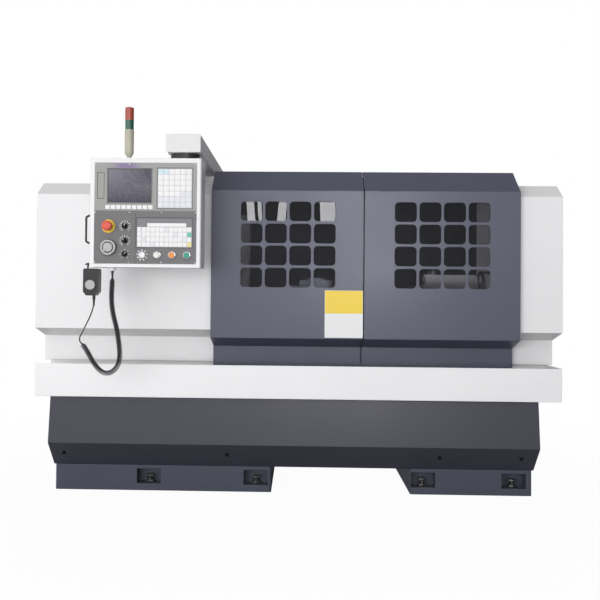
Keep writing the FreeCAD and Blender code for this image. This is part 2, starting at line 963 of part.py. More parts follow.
def chip_tray():
    """Folded tray all round the bed, with an upstand that carries the front of the covers."""
    body = new_body("chip_tray")
    half = "tray_half_length"
    pad(body, "Z", "tray_bottom", "tray_top - tray_bottom",
        box_points("-" + half, "tray_front", half, "tray_back"))
    inner = half + " - tray_skin"
    pocket(body, "Z", "tray_floor", "tray_top - tray_floor",
           box_points("-" + inner, "tray_front + tray_skin", inner, "upstand_front"))
    pocket(body, "Z", "tray_floor", "tray_top - tray_floor",
           box_points("-" + inner, "upstand_front + tray_skin", inner, "tray_back - tray_skin"))
    return node("chip_tray", body)


def bed():
    """Cast bed: two walls joined by ribs, a prismatic front way and a flat rear way."""
    body = new_body("bed")
    inner = "way_inner"
    low = "way_top - way_depth"
    slope = low + " - (way_half - bed_wall_half) * 0.7"
    flange = "tray_floor + bed_flange"
    pad(body, "X", "bed_start", "bed_length", [
        ("-bed_foot_half", "tray_floor"), ("bed_foot_half", "tray_floor"),
        ("bed_foot_half", flange), ("bed_wall_half", flange + " + 15"),
        ("bed_wall_half", slope), ("way_half", low), ("way_half", "way_top"),
        (inner, "way_top"), (inner, "bed_web_top"), ("-" + inner, "bed_web_top"),
        ("-" + inner, "way_top"), ("vee_centre + vee_half", "way_top"),
        ("vee_centre", "way_top + vee_rise"), ("vee_centre - vee_half", "way_top"),
        ("-way_half", "way_top"), ("-way_half", low), ("-bed_wall_half", slope),
        ("-bed_wall_half", flange + " + 15"), ("-bed_foot_half", flange)])
    pitch = "(bed_length - bed_rib) / bed_bays"
    wall = "bed_wall_half - bed_wall"
    bay = pocket(body, "Z", "tray_floor", "bed_web_top - tray_floor", box_points(
        "bed_start + bed_rib", "-(%s)" % wall, "bed_start + " + pitch, wall))
    repeat(body, bay, [("H_Axis", pitch, "bed_bays")])
    for start, length in (("screw_start", "screw_bracket"),
                          ("screw_end - screw_bracket", "screw_bracket")):
        pad(body, "X", start, length, box_points(
            "screw_y - screw_block_half", "screw_z - screw_block_half",
            "-bed_wall_half", "screw_z + screw_block_half"))
        bore(body, "X", start, length, "screw_y", "screw_z", "screw_journal + fit")
    return node("bed", body)


# ---------------------------------------------------------------- headstock, spindle and drive

def headstock():
    """Cast headstock on the ways, bored along the spindle axis, with a cap at each end."""
    body = new_body("headstock_casting")
    half = "headstock_half"
    pad(body, "X", "headstock_start", "headstock_length", [
        ("-way_half", "way_top")] + vee_points("way_top", "play") + [
        ("way_half", "way_top"), ("way_half", "way_top + 30"), (half, "way_top + 60"),
        (half, "headstock_top"), ("-" + half, "headstock_top"), ("-" + half, "way_top + 60"),
        ("-way_half", "way_top + 30")])
    soften(body, "headstock_round", Vector(1, 0, 0),
           lambda middle: middle.z > number("headstock_top - 70"))
    axis = ("0", "spindle_height")
    for start in ("headstock_start - bearing_cap", "headstock_end"):
        sketch = sketch_across(body, "X", start)
        draw_circle(sketch, *axis, "bearing_cap_radius")
        grow(body, "Pad", sketch, "X", "bearing_cap")
    bore(body, "X", "headstock_start", "headstock_length", *axis, "bearing_bore")
    bore(body, "X", "headstock_start - bearing_cap", "headstock_length + 2 * bearing_cap", *axis,
         "spindle_radius + play")
    return node("headstock", body)


def spindle_bearings():
    """Ring bearings between the spindle and the headstock, one at each end."""
    rings = []
    for start, length in (("headstock_start", "rear_bearing_length"),
                          ("headstock_end - front_bearing_length", "front_bearing_length")):
        inner = "spindle_radius + fit"
        outer = "bearing_bore - fit"
        rings.append(turned("bearing_ring", "X", (start, "0", "spindle_height"), [
            ("0", inner), (length, inner), (length, outer), ("0", outer)]))
    return node("spindle_bearings", group("spindle_bearings", *rings))


def spindle():
    """Hollow spindle: the nose flange carries the chuck, the tail carries the pulley."""
    start = "pulley_start - pulley_end_gap"
    neck = "spindle_tail"
    nose = "nose_start - (%s)" % start
    end = "chuck_back - (%s)" % start
    return node("spindle", turned("spindle", "X", (start, "0", "spindle_height"), [
        ("0", "spindle_bore"), (end, "spindle_bore"), (end, "nose_radius"),
        (nose, "nose_radius"), (nose, "spindle_radius"), (neck, "spindle_radius"),
        (neck, "spindle_tail_radius"), ("0", "spindle_tail_radius")]))


def grooved_pulley(name, centre, radius, hub):
    """A flanged belt pulley with a bore for its shaft."""
    flange = "pulley_flange"
    far = "pulley_width - pulley_flange"
    rim = radius + " + pulley_rim"
    return turned(name, "X", centre, [
        ("0", hub), ("pulley_width", hub), ("pulley_width", rim), (far, rim), (far, radius),
        (flange, radius), (flange, rim), ("0", rim)])


def chuck_body():
    """Three-jaw chuck body with a radial slot for each jaw."""
    start = ("chuck_back", "0", "spindle_height")
    bore_step = "chuck_bore"
    body = turned("chuck_body", "X", start, [
        ("0", bore_step), ("chuck_thickness", bore_step),
        ("chuck_thickness", "chuck_radius - 6"), ("chuck_thickness - 6", "chuck_radius"),
        ("20", "chuck_radius"), ("16", "chuck_radius - 4"), ("0", "chuck_radius - 4")])
    slot = pocket(body, "X", "chuck_thickness - jaw_slot_depth", "jaw_slot_depth", box_points(
        "-jaw_width / 2 - play", "0", "jaw_width / 2 + play", "chuck_radius + 1"))
    around(body, slot, "3")
    return node("chuck_body", body)


def chuck_jaw(index):
    """A stepped jaw; the three stand 120 degrees apart about the spindle axis."""
    name = "chuck_jaw_%d" % (index + 1)
    body = new_body(name)
    low = "chuck_thickness - jaw_slot_depth + play"
    face = "chuck_thickness"
    mid = "jaw_inner + jaw_step"
    pad(body, "Y", "-jaw_width / 2", "jaw_width", [
        (low, "jaw_inner"), (face + " + jaw_height", "jaw_inner"),
        (face + " + jaw_height", mid), (face + " + jaw_height / 2", mid),
        (face + " + jaw_height / 2", mid + " + jaw_step"), (face, mid + " + jaw_step"),
        (face, "jaw_outer"), (low, "jaw_outer")])
    body.Placement.Rotation = Rotation(Vector(1, 0, 0), 120 * index)
    put(body, "chuck_back", "0", "spindle_height")
    return node(name, body)


def main_motor():
    """Finned spindle motor on feet behind the bed, with its terminal box on top."""
    centre = ("motor_start", "motor_y", "motor_z")
    depth = "motor_bore_depth"
    hole = "motor_shaft + fit"
    cowl = "motor_length - motor_cowl"
    stator = turned("motor_stator", "X", centre, [
        ("0", hole), ("0", "motor_radius - 14"), ("16", "motor_radius"), (cowl, "motor_radius"),
        (cowl, "motor_cowl_radius"), ("motor_length - 8", "motor_cowl_radius"),
        ("motor_length", "motor_cowl_radius - 8"), ("motor_length", "0"), (depth, "0"),
        (depth, hole)])
    fin = pad(stator, "X", "30", cowl + " - 50", box_points(
        "-2", "motor_radius - 3", "2", "motor_radius + motor_fin"))
    around(stator, fin, "motor_fins")
    feet = []
    for start in ("motor_start + 40", "motor_start + motor_length - 160"):
        feet.append(block("motor_foot", (start, "motor_y - motor_foot_half", "tray_floor"),
                          (start + " + motor_foot_length", "motor_y + motor_foot_half",
                           "motor_z - motor_radius * 0.6")))
    lid = block("motor_terminals", ("motor_start + 90", "motor_y - 45", "motor_z + motor_radius - 4"),
                ("motor_start + 220", "motor_y + 45", "motor_z + motor_radius + 62"))
    return node("main_motor", join("main_motor", stator, *feet, lid))


def motor_pulley():
    """Motor pulley and the shaft it is keyed to."""
    start = ("pulley_start", "motor_y", "motor_z")
    flange = "pulley_flange"
    far = "pulley_width - pulley_flange"
    rim = "motor_pulley_radius + pulley_rim"
    end = "motor_start + motor_bore_depth - pulley_start - 1"
    return node("motor_pulley", turned("motor_pulley", "X", start, [
        ("0", "0"), (end, "0"), (end, "motor_shaft"), ("pulley_width", "motor_shaft"),
        ("pulley_width", rim), (far, rim), (far, "motor_pulley_radius"),
        (flange, "motor_pulley_radius"), (flange, rim), ("0", rim)]))


def belt_face(large, small, x):
    """The belt's outline: two arcs and the straight runs that touch both."""
    top = Vector(x, 0, number("spindle_height"))
    low = Vector(x, number("motor_y"), number("motor_z"))
    way = low - top
    span = way.Length
    way.normalize()
    side = Vector(0, -way.z, way.y)
    lean = (large - small) / span
    edges = []
    touch = {}
    for sign in (1, -1):
        normal = way * lean + side * sign * math.sqrt(1 - lean * lean)
        touch[sign] = (top + normal * large, low + normal * small)
    edges.append(Part.makeLine(*touch[1]))
    edges.append(Part.Arc(touch[1][1], low + way * small, touch[-1][1]).toShape())
    edges.append(Part.makeLine(touch[-1][1], touch[-1][0]))
    edges.append(Part.Arc(touch[-1][0], top - way * large, touch[1][0]).toShape())
    return Part.Face(Part.Wire(edges))


def drive_belt():
    """Flat ribbed belt from the motor pulley to the spindle pulley."""
    start = number("pulley_start + pulley_flange + 1")
    width = number("pulley_width - 2 * pulley_flange - 2")
    large = number("spindle_pulley_radius + play")
    small = number("motor_pulley_radius + play")
    thick = number("belt_thickness")
    outer = belt_face(large + thick, small + thick, 0).extrude(Vector(width, 0, 0))
    inner = belt_face(large, small, 0).extrude(Vector(width, 0, 0))
    belt = doc.addObject("Part::Feature", "drive_belt")
    belt.Shape = outer.cut(inner)
    belt.Placement.Base = Vector(start, 0, 0)
    return node("drive_belt", belt)


# ---------------------------------------------------------------- guard

def cover_path():
    """From the hem on the upstand, up the front, over the roof and down to the rear hem."""
    return [("cover_lower_front + cover_hem", "tray_top"), ("cover_lower_front", "tray_top"),
            ("cover_lower_front", "cover_lower_high"), ("cover_front", "cover_face_low"),
            ("cover_front", "cover_face_high"), ("cover_roof_front", "cover_roof"),
            ("cover_back", "cover_roof"), ("cover_back", "tray_top"),
            ("cover_back - cover_hem", "tray_top")]


def inward(points):
    """A path the other way round, so that the sheet's thickness lies inside it."""
    return points[::-1]


def headstock_cover():
    """White sheet cover over the headstock, open towards the work and below."""
    start = "-cover_half_length"
    skin = folded("headstock_hood", inward(cover_path()), "cover_skin", start,
                  "guard_left + cover_half_length")
    wall = plate_across_x("headstock_wall", cover_path()[1:-1], start, "cover_skin")
    hem = block("headstock_hem", (start, "cover_lower_front", "tray_top"),
                ("-cover_half_length + cover_hem", "cover_back", "tray_top + cover_skin"))
    hole = rod("post_hole", "Z", ("pivot_x", "pivot_y", "cover_roof - 10"), "post_radius + 1", "20")
    bar = rod("bar_hole", "X", (start + " - 1", "0", "spindle_height"), "bar_hole", "10")
    return node("headstock_cover", cut("headstock_cover", join("headstock_shell", skin, wall, hem),
                                       hole, bar))


def end_cover():
    """White sheet cover over the tailstock end, open towards the work and below."""
    start = "guard_right"
    skin = folded("end_hood", inward(cover_path()), "cover_skin", start,
                  "cover_half_length - guard_right")
    wall = plate_across_x("end_wall", cover_path()[1:-1], "cover_half_length - cover_skin",
                          "cover_skin")
    hem = block("end_hem", ("cover_half_length - cover_hem", "cover_lower_front", "tray_top"),
                ("cover_half_length", "cover_back", "tray_top + cover_skin"))
    return node("end_cover", join("end_cover", skin, wall, hem))


def rear_guard():
    """Rear wall and roof of the working space."""
    path = [("guard_front", "cover_roof - guard_lip"), ("guard_front", "cover_roof"),
            ("cover_back", "cover_roof"), ("cover_back", "tray_top"),
            ("cover_back - cover_hem", "tray_top")]
    return node("rear_guard", folded("rear_guard", inward(path), "cover_skin", "guard_left",
                                     "guard_right - guard_left"))


def door_rails():
    """A flat bar on the roof that the doors hang on, and a channel that guides their foot."""
    end = "door_right - play"
    front = "rail_back - rail_thickness"
    foot = block("rail_foot", ("rail_start", front, "cover_roof"),
                 (end, "rail_back + 24", "cover_roof + rail_foot"))
    bar = block("rail_bar", ("rail_start", front, "cover_roof"), (end, "rail_back", "rail_top"))
    upper = join("upper_rail", foot, bar)
    reach = "tray_half_length - tray_skin"
    web = block("guide_web", ("-" + reach, "guide_front_lip", "guide_base"),
                (reach, "upstand_front", "guide_base + guide_lip"))
    lips = []
    for lip in ("guide_front_lip", "guide_back_lip"):
        lips.append(block("guide_side", ("-" + reach, lip, "guide_base"),
                          (reach, lip + " + guide_lip", "guide_base + guide_rise")))
    lower = join("lower_rail", web, *lips)
    return node("door_rails", group("door_rails", upper, lower))


def window_cells(label, left):
    """The grid of rounded window openings in a door."""
    pitch_x = "(pane_width + pane_bar)"
    pitch_z = "(pane_height + pane_bar)"
    holes = []
    for column in range(int(number("pane_columns"))):
        for row in range(int(number("pane_rows"))):
            x = "%s + %d * %s" % (left, column, pitch_x)
            z = "pane_top - pane_height - %d * %s" % (row, pitch_z)
            cell = block(label + "_cell", (x, "door_front - 5", z),
                         (x + " + pane_width", "door_front + 15", z + " + pane_height"))
            holes.append(rounded(label + "_round", cell, "pane_round", Vector(0, 1, 0)))
    return holes


def door_path():
    return [("door_return", "door_top"), ("door_lower_front", "door_top"),
            ("door_front", "door_face_high"), ("door_front", "door_face_low"),
            ("door_lower_front", "door_lower_high"), ("door_lower_front", "door_bottom")]


def sliding_door(name, left, right, far_inset, window_left):
    """A folded door with stiff end bands, hung on the top bar by two grooved glides."""
    length = "(%s) - (%s)" % (right, left)
    skin = folded(name + "_sheet", door_path(), "door_skin", left, length)
    parts = [skin]
    band_path = door_path()[1:-1] + [("door_lower_front", "guide_base + guide_rise + 8")]
    for start in (left, "%s - door_skin" % right):
        parts.append(folded(name + "_band", band_path, "door_band", start, "door_skin"))
    front = "rail_back - rail_thickness"
    for start in ("%s + glide_inset" % left, "%s - %s - glide_length" % (right, far_inset)):
        glide = block(name + "_glide", (start, front + " - glide_wall", "rail_top - 28"),
                      (start + " + glide_length", "rail_back + glide_wall", "door_top - door_skin"))
        groove = block(name + "_groove", (start, front + " - play", "rail_top - 28"),
                       (start + " + glide_length", "rail_back + play", "rail_top + play"))
        parts.append(cut(name + "_runner", glide, groove))
    door = join(name + "_panel", *parts)
    return node(name, cut(name, door, *window_cells(name, window_left)))


def door_window(name, left):
    """Clear pane fixed behind the grid of a door."""
    body = new_body(name)
    lap = "window_lap"
    width = "pane_columns * (pane_width + pane_bar) - pane_bar"
    height = "pane_rows * (pane_height + pane_bar) - pane_bar"
    pad(body, "Y", "door_front + door_skin", "window_thickness", box_points(
        "%s - %s" % (left, lap), "pane_top - (%s) - %s" % (height, lap),
        "%s + %s + %s" % (left, width, lap), "pane_top + " + lap))
    soften(body, "pane_round", Vector(0, 1, 0))
    return node(name, body)


# ---------------------------------------------------------------- carriage

def servo_motor(name, axis, start, hole):
    """Square servo motor: a flange, a body and a round cap, bored for the screw's end."""
    body = new_body(name)
    half = "servo_half"
    pad(body, "X", "0", "servo_flange", box_points(
        "-%s - 5" % half, "-%s - 5" % half, half + " + 5", half + " + 5"))
    pad(body, "X", "servo_flange", "servo_length - servo_flange - 30",
        box_points("-" + half, "-" + half, half, half))
    soften(body, "6", Vector(1, 0, 0))
    sketch = sketch_across(body, "X", "servo_length - 30")
    draw_circle(sketch, "0", "0", half + " - 3")
    grow(body, "Pad", sketch, "X", "30")
    bore(body, "X", "0", "26", "0", "0", hole)
    body.Placement.Rotation = AXES[axis]
    put(body, *start)
    return node(name, body)


def z_screw():
    """Ball screw along the front of the bed that drives the saddle."""
    length = "screw_end - screw_start"
    end = length + " + 25"
    first = "screw_bracket + 1"
    last = length + " - screw_bracket - 1"
    return node("z_screw", turned("z_screw", "X", ("screw_start", "screw_y", "screw_z"), [
        ("0", "0"), (end, "0"), (end, "screw_journal"), (last, "screw_journal"),
        (last, "screw_radius"), (first, "screw_radius"), (first, "screw_journal"),
        ("0", "screw_journal")]))


def saddle():
    """Saddle across both ways, with an apron round the ball nut and a dovetail on top."""
    body = new_body("saddle")
    half = "saddle_half_width"
    start = "carriage_x - saddle_half_length"
    length = "2 * saddle_half_length"
    pad(body, "X", start, length, [
        ("-" + half, "apron_low"), ("apron_back", "apron_low"), ("apron_back", "saddle_low")]
        + vee_points("saddle_low", "play")
        + [(half, "saddle_low"), (half, "saddle_top"), ("-" + half, "saddle_top")])
    soften(body, "10", Vector(1, 0, 0), lambda middle: abs(middle.y) > number(half) - 1
           and middle.z > number("saddle_top - 1"))
    bore(body, "X", start, length, "screw_y", "screw_z", "screw_radius + play")
    pad(body, "Y", "-" + half, "2 * " + half, [
        ("carriage_x - dovetail_half_low", "saddle_top"),
        ("carriage_x + dovetail_half_low", "saddle_top"),
        ("carriage_x + dovetail_half_top", "dovetail_top"),
        ("carriage_x - dovetail_half_top", "dovetail_top")])
    pocket(body, "Y", "15 - " + half, "2 * %s - 15" % half, box_points(
        "carriage_x - channel_half", "saddle_top + 1", "carriage_x + channel_half",
        "dovetail_top + 1"))
    bore(body, "Y", "-" + half, "15", "carriage_x", "cross_screw_z", "cross_journal + fit")
    return node("saddle", body)


def x_screw():
    """Ball screw in the saddle's channel that drives the cross slide."""
    half = "saddle_half_width"
    start = "1 - " + half
    end = "2 * saddle_half_width + 22"
    last = "2 * saddle_half_width - 4"
    return node("x_screw", turned("x_screw", "Y", ("carriage_x", start, "cross_screw_z"), [
        ("0", "0"), (end, "0"), (end, "cross_journal"), (last, "cross_journal"),
        (last, "cross_screw_radius"), ("16", "cross_screw_radius"), ("16", "cross_journal"),
        ("0", "cross_journal")]))


def cross_slide():
    """Cross slide with its dovetail, its ball nut and the round foot of the turret."""
    body = new_body("cross_slide")
    half = "slide_half_length"
    low = "saddle_top + play"
    top = "dovetail_top + play"
    pad(body, "Y", "slide_front", "slide_back - slide_front", [
        ("carriage_x - " + half, low),
        ("carriage_x - dovetail_half_low - play", low),
        ("carriage_x - dovetail_half_top - play", top),
        ("carriage_x + dovetail_half_top + play", top),
        ("carriage_x + dovetail_half_low + play", low),
        ("carriage_x + " + half, low), ("carriage_x + " + half, "slide_top"),
        ("carriage_x - " + half, "slide_top")])
    soften(body, "8", Vector(0, 1, 0), lambda middle: middle.z > number("slide_top") - 1)
    pad(body, "Y", "-100", "70", box_points(
        "carriage_x - cross_nut_half", "saddle_top + 2", "carriage_x + cross_nut_half",
        "dovetail_top + 5"))
    bore(body, "Y", "-100", "70", "carriage_x", "cross_screw_z", "cross_screw_radius + play")
    sketch = sketch_across(body, "Z", "slide_top")
    draw_circle(sketch, "carriage_x", "turret_y", "turret_base_radius")
    grow(body, "Pad", sketch, "Z", "turret_base_height")
    sketch = sketch_across(body, "Z", "slide_top")
    draw_circle(sketch, "carriage_x", "turret_y", "turret_post")
    grow(body, "Pad", sketch, "Z", "turret_high - slide_top - 20")
    return node("cross_slide", body)


def tool_turret():
    """Four-station square turret: a slot and a clamped tool on each side, a cap on top."""
    body = new_body("turret_block")
    half = "turret_half"
    pad(body, "Z", "0", "turret_height", box_points("-" + half, "-" + half, half, half))
    soften(body, "8", Vector(0, 0, 1))
    level = "spindle_height - turret_low"
    slot = pocket(body, "X", "-%s - 1" % half, "tool_size + 5", box_points(
        "-%s - 1" % half, level + " - tool_size - 4", half + " + 1", level + " + 4"))
    around_z(body, slot)
    tool = pad(body, "X", "-" + half, "tool_size", box_points(
        "8 - " + half, level + " - tool_size", half + " + tool_stick_out", level))
    tip = pad(body, "X", "tool_size - " + half, "5", box_points(
        "8 - " + half, level + " - tool_size", half, level))
    around_z(body, tool, tip)
    screws = pad(body, "Z", "turret_height", "14", box_points("-50", "-50", "50", "50"))
    soften(body, "30", Vector(0, 0, 1), lambda middle: middle.z > number("turret_height"))
    bore(body, "Z", "0", "turret_height - 19", "0", "0", "turret_post + fit")
    put(body, "carriage_x", "turret_y", "turret_low")
    return node("tool_turret", body)


def around_z(body, *features):
    """Repeat features on the four sides of the turret."""
    pattern = body.newObject("PartDesign::PolarPattern", body.Name + "_sides")
    pattern.Originals = list(features)
    upright = [item for item in body.Origin.OriginFeatures if item.Role == "Z_Axis"][0]
    pattern.Axis = (upright, [""])
    pattern.Angle = 360
    pattern.Occurrences = 4
    body.Tip = pattern
    return pattern


# ---------------------------------------------------------------- tailstock

def tailstock():
    """Cast tailstock: a foot on the ways, a tapered neck and a barrel round the quill."""
    body = new_body("tailstock")
    foot = "tailstock_foot_half"
    top = "tailstock_foot_top"
    neck = "tailstock_neck_half"
    pad(body, "X", "tailstock_start", "tailstock_length", [
        ("-" + foot, "saddle_low")] + vee_points("saddle_low", "play") + [
        (foot, "saddle_low"), (foot, top + " - 20"), (foot + " - 20", top), (neck, top),
        ("barrel_radius", "spindle_height"), ("-barrel_radius", "spindle_height"),
        ("-" + neck, top), ("20 - " + foot, top), ("-" + foot, top + " - 20")])
    sketch = sketch_across(body, "X", "tailstock_start - barrel_overhang")
    draw_circle(sketch, "0", "spindle_height", "barrel_radius")
    grow(body, "Pad", sketch, "X", "tailstock_length + barrel_overhang")
    sketch = sketch_across(body, "Z", "spindle_height + barrel_radius - 6")
    draw_circle(sketch, "tailstock_start + 20", "0", "lever_hub")
    grow(body, "Pad", sketch, "Z", "10")
    bore(body, "X", "tailstock_start - barrel_overhang", "quill_length + 15", "0",
         "spindle_height", "quill_radius + fit")
    bore(body, "X", "tailstock_start", "tailstock_length", "0", "spindle_height",
         "wheel_shaft + fit")
    bore(body, "Z", "spindle_height + quill_radius + 5", "60", "tailstock_start + 20", "0",
         "lever_radius + fit")
    return node("tailstock", body)


def tailstock_quill():
    """Quill with its fixed centre, drawn back to rest."""
    start = "tailstock_start - barrel_overhang - quill_out - centre_length"
    end = "centre_length + quill_length"
    return node("tailstock_quill", turned("tailstock_quill", "X", (start, "0", "spindle_height"), [
        ("0", "0"), (end, "0"), (end, "quill_radius"), ("centre_length + 4", "quill_radius"),
        ("centre_length", "quill_radius - 4"), ("centre_length", "centre_radius"),
        ("centre_radius * 1.7", "centre_radius")]))


def tailstock_handwheel():
    """Spoked wheel with a crank handle on the quill's screw."""
    start = "tailstock_end + play"
    out = "wheel_gap"
    body = turned("wheel_hub", "X", (start, "0", "spindle_height"), [
        ("0", "0"), (out + " + 18", "0"), (out + " + 18", "wheel_hub"), ("0", "wheel_hub")])
    shaft = rod("wheel_shaft", "X", ("tailstock_end - 40", "0", "spindle_height"), "wheel_shaft",
                "60")
    mid = "wheel_radius - wheel_rim"
    rim = turned("wheel_rim", "X", ("tailstock_end + wheel_gap - wheel_rim", "0", "spindle_height"), [
        ("0", mid + " - 3"), ("wheel_rim - 3", "wheel_radius - 2 * wheel_rim"),
        ("wheel_rim + 3", "wheel_radius - 2 * wheel_rim"), ("2 * wheel_rim", mid + " - 3"),
        ("2 * wheel_rim", mid + " + 3"), ("wheel_rim + 3", "wheel_radius"),
        ("wheel_rim - 3", "wheel_radius"), ("0", mid + " + 3")])
    spokes = []
    for index in range(3):
        spoke = doc.addObject("Part::Cylinder", "wheel_spoke")
        bind(spoke, Radius="wheel_rim * 0.75", Height="wheel_radius - wheel_rim")
        spoke.Placement.Rotation = Rotation(Vector(1, 0, 0), 60 + 120 * index)
        put(spoke, "tailstock_end + wheel_gap", "0", "spindle_height")
        spokes.append(spoke)
    crank = rod("wheel_crank", "X", ("tailstock_end + wheel_gap", "0",
                                     "spindle_height + wheel_radius - wheel_rim"), "8",
                "crank_length")
    return node("tailstock_handwheel", join("tailstock_handwheel", body, shaft, rim, crank, *spokes))


def quill_clamp_lever():
    """Lever on top of the barrel that locks the quill."""
    base = "spindle_height + barrel_radius + 4 + play"
    x = "tailstock_start + 20"
    stem = rod("lever_stem", "Z", (x, "0", base + " - 30"), "lever_radius", "34")
    hub = rod("lever_hub", "Z", (x, "0", base), "lever_hub", "20")
    arm = rod("lever_arm", "Y", (x, "0", base + " + 11"), "lever_radius * 0.8", "lever_reach")
    knob = turned("lever_knob", "Y", (x, "lever_reach - 8", base + " + 11"), [
        ("0", "0"), ("20", "0"), ("20", "6"), ("14", "11"), ("6", "11"), ("0", "7")])
    return node("quill_clamp_lever", join("quill_clamp_lever", stem, hub, arm, knob))


# ---------------------------------------------------------------- electrical cabinet and coolant

def electrical_cabinet():
    """Sheet cabinet behind the headstock on two brackets, with the drives on a plate inside."""
    skin = "cabinet_skin"
    front = "cover_back"
    box = block("cabinet_box", ("cabinet_left", front, "cabinet_bottom"),
                ("cabinet_right", "cabinet_back", "cabinet_top"))
    space = block("cabinet_space", ("cabinet_left + " + skin, front + " + " + skin,
                                    "cabinet_bottom + " + skin),
                  ("cabinet_right - " + skin, "cabinet_back + 1", "cabinet_top - " + skin))
    shell = cut("cabinet_shell", box, space)
    parts = [shell]
    for x in ("cabinet_left + 90", "cabinet_right - 150"):
        parts.append(block("cabinet_bracket", (x, "pedestal_back", "cabinet_bottom - 50"),
                           (x + " + 60", "cabinet_back - 20", "cabinet_bottom")))
    plate = "drive_plate_y"
    parts.append(block("drive_plate", ("cabinet_left + 30", plate, "cabinet_bottom + 40"),
                       ("cabinet_right - 30", plate + " + 3", "cabinet_top - 40")))
    for x in ("cabinet_left + 60", "cabinet_right - 90"):
        parts.append(block("plate_rail", (x, front + " + 1", "cabinet_bottom + 60"),
                           (x + " + 30", plate + " + 1", "cabinet_top - 60")))
    drives = (("cabinet_left + 60", "220", "190", "cabinet_bottom + 560", "380"),
              ("cabinet_left + 320", "90", "170", "cabinet_bottom + 640", "280"),
              ("cabinet_left + 430", "90", "170", "cabinet_bottom + 640", "280"),
              ("cabinet_left + 80", "180", "150", "cabinet_bottom + 90", "170"),
              ("cabinet_left + 320", "480", "80", "cabinet_bottom + 400", "90"),
              ("cabinet_left + 320", "480", "80", "cabinet_bottom + 150", "90"))
    for x, wide, deep, z, tall in drives:
        parts.append(block("drive_unit", (x, plate + " + 2", z),
                           (x + " + " + wide, plate + " + " + deep, z + " + " + tall)))
    for z in ("cabinet_bottom + 120", "cabinet_top - 180"):
        parts.append(rod("cabinet_pin", "Z", ("hinge_x", "cabinet_door_back - 6", z), "hinge_pin",
                         "hinge_length"))
        for lug in (z, z + " + hinge_length - 10"):
            near = "hinge_x - hinge_ring"
            axis_y = "cabinet_door_back - 6"
            parts.append(block("lug_root", (near, "cabinet_back - 30", lug),
                               ("cabinet_left + 1", "cabinet_back", lug + " + 10")))
            parts.append(block("lug_neck", (near, "cabinet_back - 30", lug),
                               ("hinge_x + hinge_ring", axis_y, lug + " + 10")))
            parts.append(rod("lug_eye", "Z", ("hinge_x", axis_y, lug), "hinge_ring", "10"))
    return node("electrical_cabinet", join("electrical_cabinet", *parts))


def cabinet_door():
    """Door of folded sheet with two hinge rings and a hole for the switch shaft."""
    outer = block("door_pan", ("cabinet_left", "cabinet_back + play", "cabinet_bottom"),
                  ("cabinet_right", "cabinet_door_back", "cabinet_top"))
    skin = "cabinet_door_skin"
    inner = block("door_hollow", ("cabinet_left + " + skin, "cabinet_back", "cabinet_bottom + " + skin),
                  ("cabinet_right - " + skin, "cabinet_door_back - " + skin, "cabinet_top - " + skin))
    pan = cut("door_shell", outer, inner)
    parts = [pan]
    holes = []
    for z in ("cabinet_bottom + 120", "cabinet_top - 180"):
        low = z + " + 10 + play"
        tall = "hinge_length - 20 - 2 * play"
        axis = ("hinge_x", "cabinet_door_back - 6")
        parts.append(rod("hinge_ring", "Z", axis + (low,), "hinge_ring", tall))
        parts.append(block("hinge_strap", ("hinge_x", "cabinet_door_back - 6", low),
                           ("cabinet_left + 12", "cabinet_door_back", low + " + " + tall)))
        holes.append(rod("hinge_hole", "Z", axis + (z,), "hinge_pin + fit", "hinge_length"))
    shaft = ("cabinet_right - 140", "cabinet_door_back - 10", "cabinet_top - 300")
    holes.append(rod("switch_hole", "Y", shaft, "6 + fit", "20"))
    return node("cabinet_door", cut("cabinet_door", join("door_parts", *parts), *holes))


def main_switch():
    """Rotary main switch: a round handle with a grip bar, its shaft through the door."""
    x = "cabinet_right - 140"
    z = "cabinet_top - 300"
    base = "cabinet_door_back + play"
    disc = rod("switch_disc", "Y", (x, base, z), "switch_radius", "7")
    grip = block("switch_grip", (x + " - 7", base, z + " - switch_radius + 4"),
                 (x + " + 7", "rear_reach", z + " + switch_radius - 4"))
    shaft = rod("switch_shaft", "Y", (x, base + " - 14", z), "6", "16")
    return node("main_switch", join("main_switch", disc, grip, shaft))


def coolant_tank():
    """Closed coolant tank with its immersion pump on the lid.

    Its inlet meets the right pedestal between the two feet.
    """
    front = "pedestal_back + tank_gap"
    body = new_body("tank_box")
    right = "tank_start + tank_length"
    back = front + " + tank_depth"
    pad(body, "Z", "0", "tank_top - 12", box_points("tank_start", front, right, back))
    soften(body, "tank_round", Vector(0, 0, 1))
    pad(body, "Z", "0", "tank_top - 12", box_points(
        "tank_inlet", "pedestal_back + play", "tank_inlet + tank_inlet_width", front + " + 1"))
    pad(body, "Z", "tank_top - 12", "12", box_points("tank_start", front, right, back))
    y = front + " + tank_depth - 110"
    sketch = sketch_across(body, "Z", "tank_top")
    draw_circle(sketch, "pump_x", y, "pump_radius + 18")
    grow(body, "Pad", sketch, "Z", "14")
    sketch = sketch_across(body, "Z", "tank_top")
    draw_circle(sketch, "pump_x", y, "pump_radius")
    grow(body, "Pad", sketch, "Z", "pump_height")
    sketch = sketch_across(body, "Z", "tank_top + pump_height - 50")
    draw_circle(sketch, "pump_x", y, "pump_radius + 6")
    grow(body, "Pad", sketch, "Z", "60")
    pad(body, "Z", "tank_top + 60", "80", box_points(
        "pump_x - 35", y + " - pump_radius - 40", "pump_x + 35", y))
    return node("coolant_tank", body)


# ---------------------------------------------------------------- boom and pendant

